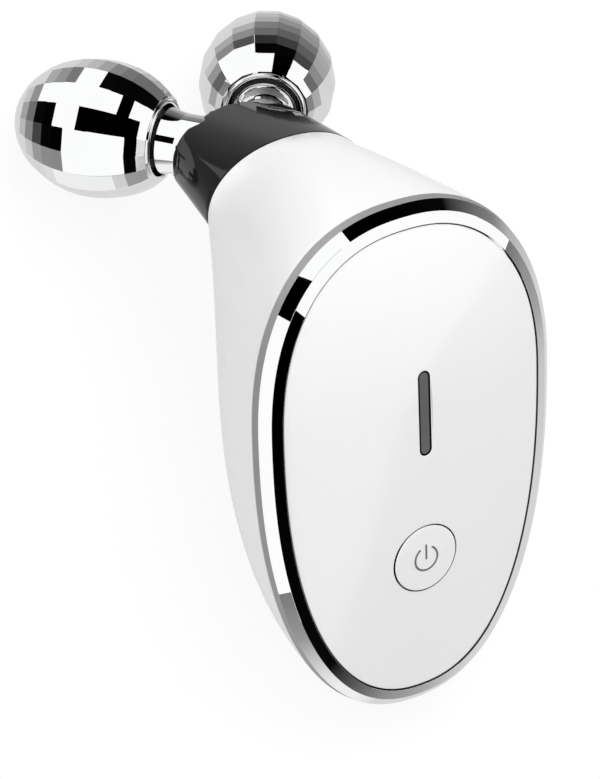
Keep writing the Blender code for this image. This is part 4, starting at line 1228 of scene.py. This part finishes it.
class MASSAGER_OT_model_head(bpy.types.Operator):
    """Model the dark head: sleeve, spigot, roof end and the two stem seats"""

    bl_idname = "massager.model_head"
    bl_label = "Head"

    def execute(self, context):
        sizes, colours = context.scene.massager_sizes, context.scene.massager_colours
        span = head_overshoot - head_start
        rings = [head_ring(head_start + span * i / head_rows) for i in range(head_rows + 1)]
        sleeve = skin("head_sleeve", rings)
        for side in (-1, 1):
            self.cut_plane(sleeve, side, head_ridge_z, head_ridge_angle)
        soften(sleeve, sizes.edge_round, head_round_angle, segments=3)
        buried = head_ring(spigot_bury_share, spigot_inset)
        spigot = [*horn_rings(spigot_inset, spigot_start_share, 1.0, neck_rows), buried]
        combine(sleeve, skin("spigot", spigot), "UNION")
        combine(sleeve, self.cavity(), "DIFFERENCE")
        self.add_lugs(sleeve)
        bores = ((bore_radius, seat_reach), (stud_hole_radius, cavity_reach - short_overrun))
        for side in (-1, 1):
            for radius, start in bores:
                bore = turned("bore", ((radius, start), (radius, rim_reach + overrun)))
                bore.matrix_world = stem_frame(side)
                combine(sleeve, bore, "DIFFERENCE")
        dark = finish(
            "charcoal_gloss", tuple(colours.head), roughness=0.05,
            shift=0.05, haze=0.02, smears=0.03, patch=0.01, relief=0.000001, ripple=0.006, grain_share=0.05,
            dust=0.06, wear=0.15, worn=(0.12, 0.12, 0.12), specular=0.36,
        )
        settle(sleeve, "body", "charcoal", dark, "head_collar")
        return {"FINISHED"}

    def cut_plane(self, piece, side, ridge_z, slope):
        """Takes off what lies behind one side of the roof, and closes the cut."""
        pick(piece)
        bpy.ops.object.mode_set(mode="EDIT")
        bpy.ops.mesh.select_all(action="SELECT")
        normal = (-side * math.sin(slope), 0.0, math.cos(slope))
        bpy.ops.mesh.bisect(plane_co=(0.0, 0.0, ridge_z), plane_no=normal, use_fill=True, clear_inner=True)
        bpy.ops.object.mode_set(mode="OBJECT")

    def cavity(self):
        """The head's hollow, with a roof along the seats."""
        bore_inset = spigot_inset + spigot_wall
        rings = horn_rings(bore_inset, throat_start_share, 1.0, neck_rows)
        thinned = head_wall - bore_inset
        for i in range(1, cavity_rows + 1):
            rings.append(head_ring(i / cavity_rows, bore_inset + thinned * i / cavity_rows))
        hollow = skin("head_cavity", rings)
        ridge = apex.z - cavity_reach / math.cos(stem_splay)
        for side in (-1, 1):
            self.cut_plane(hollow, side, ridge, stem_splay)
        return hollow

    def add_lugs(self, sleeve):
        """The lugs that the head's screws hold, inside the spigot."""
        inset = spigot_inset + spigot_wall / 2
        throat = horn_rings(inset, throat_start_share, 1.0, neck_rows)
        form = skin("lug_form", [*throat, head_ring(form_end_share, inset)])
        for side in (-1, 1):
            lug = add_block(head_lug_size, (side * lug_place[0], lug_place[1], head_lug_z))
            combine(lug, form, "INTERSECT", keep=True)
            combine(sleeve, lug, "UNION")
            low, high = head_lug_z - overrun, head_lug_z + overrun / 2
            hole = add_post(pillar_hole_radius, low, high, (side * lug_screw_x, lug_place[1]))
            combine(sleeve, hole, "DIFFERENCE")
        bpy.data.objects.remove(form)


class MASSAGER_OT_model_stems(bpy.types.Operator):
    """Model the two chrome stems, with their flare into the rollers' mouths"""

    bl_idname = "massager.model_stems"
    bl_label = "Stems"

    def execute(self, context):
        base = seat_reach + touch_gap
        profile = [
            (stud_radius, stud_end_reach),
            (stud_radius, base),
            (stem_radius - stem_edge, base),
            (stem_radius, base + stem_edge),
        ]
        for i in range(flare_rows + 1):
            share = i / flare_rows
            radius = stem_radius + (stem_shoulder_radius - stem_radius) * share**stem_flare_power
            profile.append((radius, stem_flare_start + (stem_flare_end - stem_flare_start) * share))
        for draw_in, drop in quarter_round(stem_edge, 0.0, 30.0, 60.0, 90.0):
            profile.append((stem_shoulder_radius - draw_in, stem_shoulder - drop))
        profile += [(stem_bore_radius, stem_shoulder), (stem_bore_radius, stem_shoulder - stem_bore_depth)]
        stem = turned("chrome_stem_left", profile)
        for piece, name, side in ((stem, "left", -1), (copy_of(stem, "chrome_stem_right"), "right", 1)):
            place = rest_place @ stem_frame(side)
            settle(piece, "body", "chrome", bright_chrome(), "stem_" + name, place=place)
        return {"FINISHED"}


class MASSAGER_OT_model_rollers(bpy.types.Operator):
    """Model the two faceted rollers, with softened facet edges, lip and pocket"""

    bl_idname = "massager.model_rollers"
    bl_label = "Rollers"

    def execute(self, context):
        edge = context.scene.massager_sizes.facet_edge_round
        ball = skin("faceted_roller_left", self.facet_rings(), "tip")
        soften(ball, edge, facet_round_angle, segments=1)
        mouth_radius = ball_rim_radius - lip_width
        pocket_radius = mouth_radius - pocket_step
        shoulder = rim_reach + mouth_depth
        bead_middle, bead_end = ball_rim_radius - lip_round, rim_reach + 2 * lip_round
        mouth = [
            (pocket_radius, pocket_end),
            (pocket_radius, shoulder),
            (mouth_radius, shoulder),
            (mouth_radius, bead_end),
            (bead_middle - lip_round, bead_end),
        ]
        for i in range(2 * lip_rows + 1):
            angle = math.pi / 2 * i / lip_rows
            radius = bead_middle - lip_round * math.cos(angle)
            mouth.append((radius, rim_reach + lip_round * (1 - math.sin(angle))))
        for height in (rim_reach + lip_round, rim_reach - short_overrun):
            mouth.append((ball_rim_radius + short_overrun, height))
        combine(ball, turned("mouth", mouth), "DIFFERENCE")
        # The faces inside the mouth, behind the lip, get the near-black of painted shade, for the shade in the
        # roller's bore
        bore = ((gap_shade_black(), self.in_bore),)
        chrome = bright_chrome("faceted_chrome", 0.002)
        flat = {"angle": facet_sharp_angle, "weighted": False, "others": bore, "soft": self.on_lip}
        for piece, name, side in ((ball, "left", -1), (copy_of(ball, "faceted_roller_right"), "right", 1)):
            place = rest_place @ stem_frame(side)
            settle(piece, "roller_" + name, "roller_chrome", chrome, "roller_ball_" + name, place=place, **flat)
        return {"FINISHED"}

    def in_bore(self, face):
        """Whether a face is inside the roller, behind its lip."""
        x, y, z = face.center
        inside = math.hypot(x, y) < ball_rim_radius - lip_width + wall_slack
        return inside and rim_reach + lip_round < z < pocket_end + wall_slack

    def on_lip(self, face):
        """Whether a face is on the round of the lip."""
        x, y, z = face.calc_center_median()
        inner, outer = ball_rim_radius - 2 * lip_round - wall_slack, ball_rim_radius + wall_slack
        return inner < math.hypot(x, y) < outer and z < rim_reach + lip_round + wall_slack

    def facet_rings(self):
        """Rings of flat facets: bands of equal length along the roller's curve."""
        start = math.acos(-ball_mouth_share)
        curve, lengths = [], [0.0]
        for i in range(curve_samples + 1):
            angle = start * (1 - i / curve_samples)
            curve.append((ball_radius * math.sin(angle), ball_middle + ball_half_length * math.cos(angle)))
            if i:
                lengths.append(lengths[-1] + math.dist(curve[-1], curve[-2]))
        rings = []
        nearest = 0
        for band in range(facet_bands):
            while lengths[nearest] < lengths[-1] * band / facet_bands:
                nearest += 1
            radius, height = curve[nearest]
            turns = [facet_turn + math.tau * i / facets_around for i in range(facets_around)]
            rings.append([Vector((radius * math.cos(t), radius * math.sin(t), height)) for t in turns])
        rings.append([Vector((0.0, 0.0, curve[-1][1]))] * facets_around)
        return rings


def both(*names):
    """The left and the right node of each name."""
    return [f"{name}_{side}" for name in names for side in ("left", "right")]


def numbered(name, count):
    """The nodes of a name that is numbered from 1."""
    return [f"{name}_{number}" for number in range(1, count + 1)]


# For each inner finish: its colour, roughness and metal, its shift and haze, the sizes of its patches, relief
# and ripple in millimetres, what else it has, and the nodes that get it
inner_finishes = {
    "turned_steel": (
        (0.56, 0.56, 0.57), (0.28, 1.0), (0.04, 0.06), (3.0, 0.004, 0.6),
        {"wear": 0.3, "pattern": turned_pattern},
        (*numbered("board_screw", 4), *both("head_screw", "axle", "axle_clip"), "charge_socket"),
    ),
    "machined_brass": (
        (0.76, 0.58, 0.27), (0.26, 1.0), (0.05, 0.06), (3.0, 0.004, 0.6),
        {"wear": 0.3, "worn": (0.85, 0.72, 0.42), "pattern": turned_pattern},
        both("ring_terminal", "stem_nut"),
    ),
    "bearing_plastic": (
        (0.045, 0.043, 0.04), (0.5, 0.0), (0.05, 0.06), (3.0, 0.006, 0.6), {}, both("inner_bush", "outer_bush"),
    ),
    "hub_moulding": ((0.10, 0.10, 0.105), (0.45, 0.0), (0.06, 0.06), (4.0, 0.01, 0.8), {}, both("roller_hub")),
    "matt_black": (
        (0.022, 0.022, 0.023), (0.5, 0.0), (0.08, 0.08), (3.0, 0.01, 0.6),
        {}, ("tact_switch", "switch_plunger", "controller_chip"),
    ),
    "tray_moulding": (
        (0.05, 0.05, 0.052), (0.55, 0.0), (0.06, 0.06), (6.0, 0.015, 0.8), {"dust": 0.2}, ("battery_tray",),
    ),
    "pressed_ferrite": (
        (0.09, 0.088, 0.09), (0.62, 0.0), (0.12, 0.08), (1.0, 0.03, 0.3), {}, ("step_up_coil",),
    ),
    "cell_foil": (
        (0.62, 0.63, 0.66), (0.36, 0.6), (0.04, 0.08), (6.0, 0.02, 1.5),
        {"pattern": foil_pattern}, ("battery_cell",),
    ),
    "solder_mask": (
        (0.03, 0.19, 0.09), (0.38, 0.0), (0.06, 0.06), (4.0, 0.008, 0.8),
        {"coat": 0.4, "pattern": board_pattern}, ("main_board",),
    ),
    "lamp_resin": (
        (0.85, 0.83, 0.70), (0.3, 0.0), (0.04, 0.05), (0.8, 0.004, 0.4),
        {}, numbered("indicator_led", 3),
    ),
    "red_sheath": (
        (0.55, 0.03, 0.02), (0.42, 0.0), (0.06, 0.06), (3.0, 0.006, 4.0),
        {"pattern": strand_pattern}, ("stem_lead_right", "cell_lead_right"),
    ),
    "black_sheath": (
        (0.022, 0.022, 0.022), (0.42, 0.0), (0.06, 0.06), (3.0, 0.006, 4.0),
        {"pattern": strand_pattern}, ("stem_lead_left", "cell_lead_left"),
    ),
}


class MASSAGER_OT_dress_inside(bpy.types.Operator):
    """Give the carried-over pieces inside the handle and rollers their finishes"""

    bl_idname = "massager.dress_inside"
    bl_label = "Inner pieces"

    def execute(self, context):
        for name, (colour, (roughness, metal), (shift, haze), sizes, others, nodes) in inner_finishes.items():
            patch, relief, ripple = (size * MM for size in sizes)
            material = finish(
                name, colour, roughness, metal, shift, haze, patch=patch, relief=relief, ripple=ripple, **others
            )
            self.dress(material, nodes)
        return {"FINISHED"}

    def dress(self, material, names):
        """Gives carried-over CAD nodes their finish."""
        for name in names:
            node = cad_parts[name]
            if not node.material_slots:
                node.data.materials.append(material)
            for slot in node.material_slots:
                slot.material = material


# ---------------------------------------------------------------- studio


def show_background(tree):
    """One for rays that look straight at the background, or see it in metal or glass."""
    path = add_node(tree, "LightPath").outputs
    seen = calculate(tree, "ADD", path["Is Camera Ray"], path["Is Glossy Ray"])
    return calculate(tree, "ADD", seen, path["Is Transmission Ray"], use_clamp=True)


def mix_surfaces(tree, share, under, over):
    """Two surfaces mixed by a share."""
    return add_node(tree, "MixShader", {0: share, 1: under, 2: over}).outputs[0]


def white_emission(tree, strength):
    """A plain white glow."""
    return add_node(tree, "Emission", {"Color": (1.0, 1.0, 1.0, 1.0), "Strength": strength}).outputs[0]


def new_glow(name):
    """A material without a surface yet: its tree and the socket of the output."""
    material = bpy.data.materials.new(name)
    material.use_nodes = True
    tree = material.node_tree
    tree.nodes.clear()
    return material, tree, add_node(tree, "OutputMaterial").inputs["Surface"]


class MASSAGER_OT_set_studio(bpy.types.Operator):
    """Set the camera, the pale floor, the lamps and the panels that the chrome mirrors"""

    bl_idname = "massager.set_studio"
    bl_label = "Studio"

    def execute(self, context):
        scene = context.scene
        scene.view_settings.view_transform = "Standard"
        self.add_camera(scene)
        self.set_world(scene)
        self.add_floor(tuple(scene.massager_colours.ground))
        self.add_lamps()
        self.add_surround()
        self.add_panels()
        return {"FINISHED"}

    def add_camera(self, scene):
        deselect()
        bpy.ops.object.camera_add(location=camera_place, rotation=camera_turn)
        camera = bpy.context.object
        camera.name = "photo_camera"
        camera.data.sensor_fit = "HORIZONTAL"
        camera.data.sensor_width = camera_sensor
        camera.data.lens = camera_lens
        camera.data.clip_start, camera.data.clip_end = camera_clip
        scene.camera = camera

    def set_world(self, scene):
        world = bpy.data.worlds.new("studio_world")
        world.use_nodes = True
        tree = world.node_tree
        plain = tree.nodes["Background"]
        plain.inputs["Color"].default_value = (1.0, 1.0, 1.0, 1.0)
        plain.inputs["Strength"].default_value = world_light
        white = add_node(tree, "Background", {"Color": (1.0, 1.0, 1.0, 1.0), "Strength": 1.0})
        mixed = mix_surfaces(tree, show_background(tree), plain.outputs[0], white.outputs[0])
        tree.links.new(mixed, tree.nodes["World Output"].inputs["Surface"])
        scene.world = world

    def add_floor(self, colour):
        deselect()
        bpy.ops.mesh.primitive_plane_add(size=floor_size, location=(0.0, 0.0, -floor_gap))
        floor = bpy.context.object
        floor.name = "studio_floor"
        material = finish(
            "floor_paper", colour, roughness=0.8,
            shift=0.004, haze=0.05, smears=0.0, patch=0.3, relief=0.00005, ripple=0.002, specular=0.1,
        )
        tree = material.node_tree
        share = calculate(tree, "MULTIPLY", show_background(tree), floor_glow_share)
        paper = tree.nodes["Principled BSDF"].outputs[0]
        mixed = mix_surfaces(tree, share, paper, white_emission(tree, floor_glow))
        tree.links.new(mixed, tree.nodes["Material Output"].inputs["Surface"])
        floor.data.materials.append(material)
        floor.visible_glossy = False

    def add_lamps(self):
        """The soft lamps, kept out of the reflections."""
        for name, (place, size, power) in lamps.items():
            deselect()
            bpy.ops.object.light_add(type="AREA", location=place)
            lamp = bpy.context.object
            lamp.name = name
            lamp.data.size = size
            lamp.data.energy = power
            lamp.rotation_euler = (-Vector(place)).to_track_quat("-Z", "Y").to_euler()
            lamp.visible_glossy = False

    def mirror_only(self, piece):
        """Shows a stage piece to mirror rays alone, so that it neither lights nor shades the object."""
        piece.visible_camera = False
        piece.visible_diffuse = False
        piece.visible_transmission = False
        piece.visible_volume_scatter = False
        piece.visible_shadow = False

    def add_surround(self):
        """The dark end of the studio behind the camera, fading into the white sweep."""
        deselect()
        bpy.ops.mesh.primitive_uv_sphere_add(
            segments=2 * surround_rows, ring_count=surround_rows, radius=surround_radius
        )
        surround = bpy.context.object
        surround.name = "studio_surround"
        material, tree, out = new_glow("studio_surround")
        place = add_node(tree, "TexCoord").outputs["Object"]
        away = add_node(tree, "VectorMath", {0: place}, operation="NORMALIZE").outputs[0]
        dark_end = self.sweep(tree, away, dark_end_axis, dark_end_steps)
        low_sweep = self.sweep(tree, away, low_sweep_axis, low_sweep_steps)
        shade = self.sweep(tree, away, shade_axis, shade_steps)
        level = calculate(tree, "MAXIMUM", calculate(tree, "MULTIPLY", dark_end, shade), low_sweep)
        glow = add_node(tree, "Emission", {"Color": level, "Strength": 1.0})
        tree.links.new(glow.outputs[0], out)
        surround.data.materials.append(material)
        self.mirror_only(surround)

    def sweep(self, tree, away, axis, steps):
        """A level that changes with the angle from an axis."""
        angle = calculate(tree, "ARCCOSINE", dot(tree, away, axis))
        ramp = add_node(tree, "ValToRGB", {0: calculate(tree, "DIVIDE", angle, math.pi)})
        stops = ramp.color_ramp.elements
        stops.remove(stops[-1])
        stops[0].position = 0.0
        stops[0].color = (*[steps[0][1]] * 3, 1.0)
        for degrees, level in steps:
            stops.new(degrees / 180.0).color = (level, level, level, 1.0)
        return ramp.outputs["Color"]

    def add_panels(self):
        """Soft white panels round the camera, each through corners seen from the object."""
        material, tree, out = new_glow("panel_glow")
        tree.links.new(white_emission(tree, panel_glow), out)
        turn = Euler(camera_turn).to_matrix()
        for name, corners in panels.items():
            deselect()
            bpy.ops.mesh.primitive_circle_add(vertices=len(corners), radius=1.0, fill_type="NGON")
            panel = bpy.context.object
            panel.name = name
            for corner, (around, off) in zip(panel.data.vertices, corners):
                turned_in = Matrix.Rotation(math.radians(off), 3, "Y") @ Vector((0.0, 0.0, panel_distance))
                corner.co = turn @ Matrix.Rotation(math.radians(around), 3, "Z") @ turned_in
            panel.data.materials.append(material)
            self.mirror_only(panel)


# ---------------------------------------------------------------- add-on


step_operators = (
    MASSAGER_OT_set_studio,
    MASSAGER_OT_model_shell,
    MASSAGER_OT_model_ring,
    MASSAGER_OT_model_plate,
    MASSAGER_OT_model_button,
    MASSAGER_OT_model_head,
    MASSAGER_OT_model_stems,
    MASSAGER_OT_model_rollers,
    MASSAGER_OT_dress_inside,
)


class MASSAGER_PT_steps(bpy.types.Panel):
    """The massager's settings and the steps that build it"""

    bl_idname = "MASSAGER_PT_steps"
    bl_label = "Face massager"
    bl_space_type = "VIEW_3D"
    bl_region_type = "UI"
    bl_category = "Massager"

    def draw(self, context):
        column = self.layout.column(align=True)
        for step in step_operators:
            column.operator(step.bl_idname)
        for settings in (context.scene.massager_sizes, context.scene.massager_colours):
            box = self.layout.box()
            for name in settings.__annotations__:
                box.prop(settings, name)


classes = (MassagerSizes, MassagerColours, *step_operators, MASSAGER_PT_steps)


def register():
    for item in classes:
        bpy.utils.register_class(item)
    bpy.types.Scene.massager_sizes = bpy.props.PointerProperty(type=MassagerSizes)
    bpy.types.Scene.massager_colours = bpy.props.PointerProperty(type=MassagerColours)


def unregister():
    del bpy.types.Scene.massager_colours
    del bpy.types.Scene.massager_sizes
    for item in reversed(classes):
        bpy.utils.unregister_class(item)


def main():
    register()
    bpy.ops.massager.set_studio()
    bpy.ops.massager.model_shell()
    bpy.ops.massager.model_ring()
    bpy.ops.massager.model_plate()
    bpy.ops.massager.model_button()
    bpy.ops.massager.model_head()
    bpy.ops.massager.model_stems()
    bpy.ops.massager.model_rollers()
    bpy.ops.massager.dress_inside()


if __name__ == "__main__":
    main()
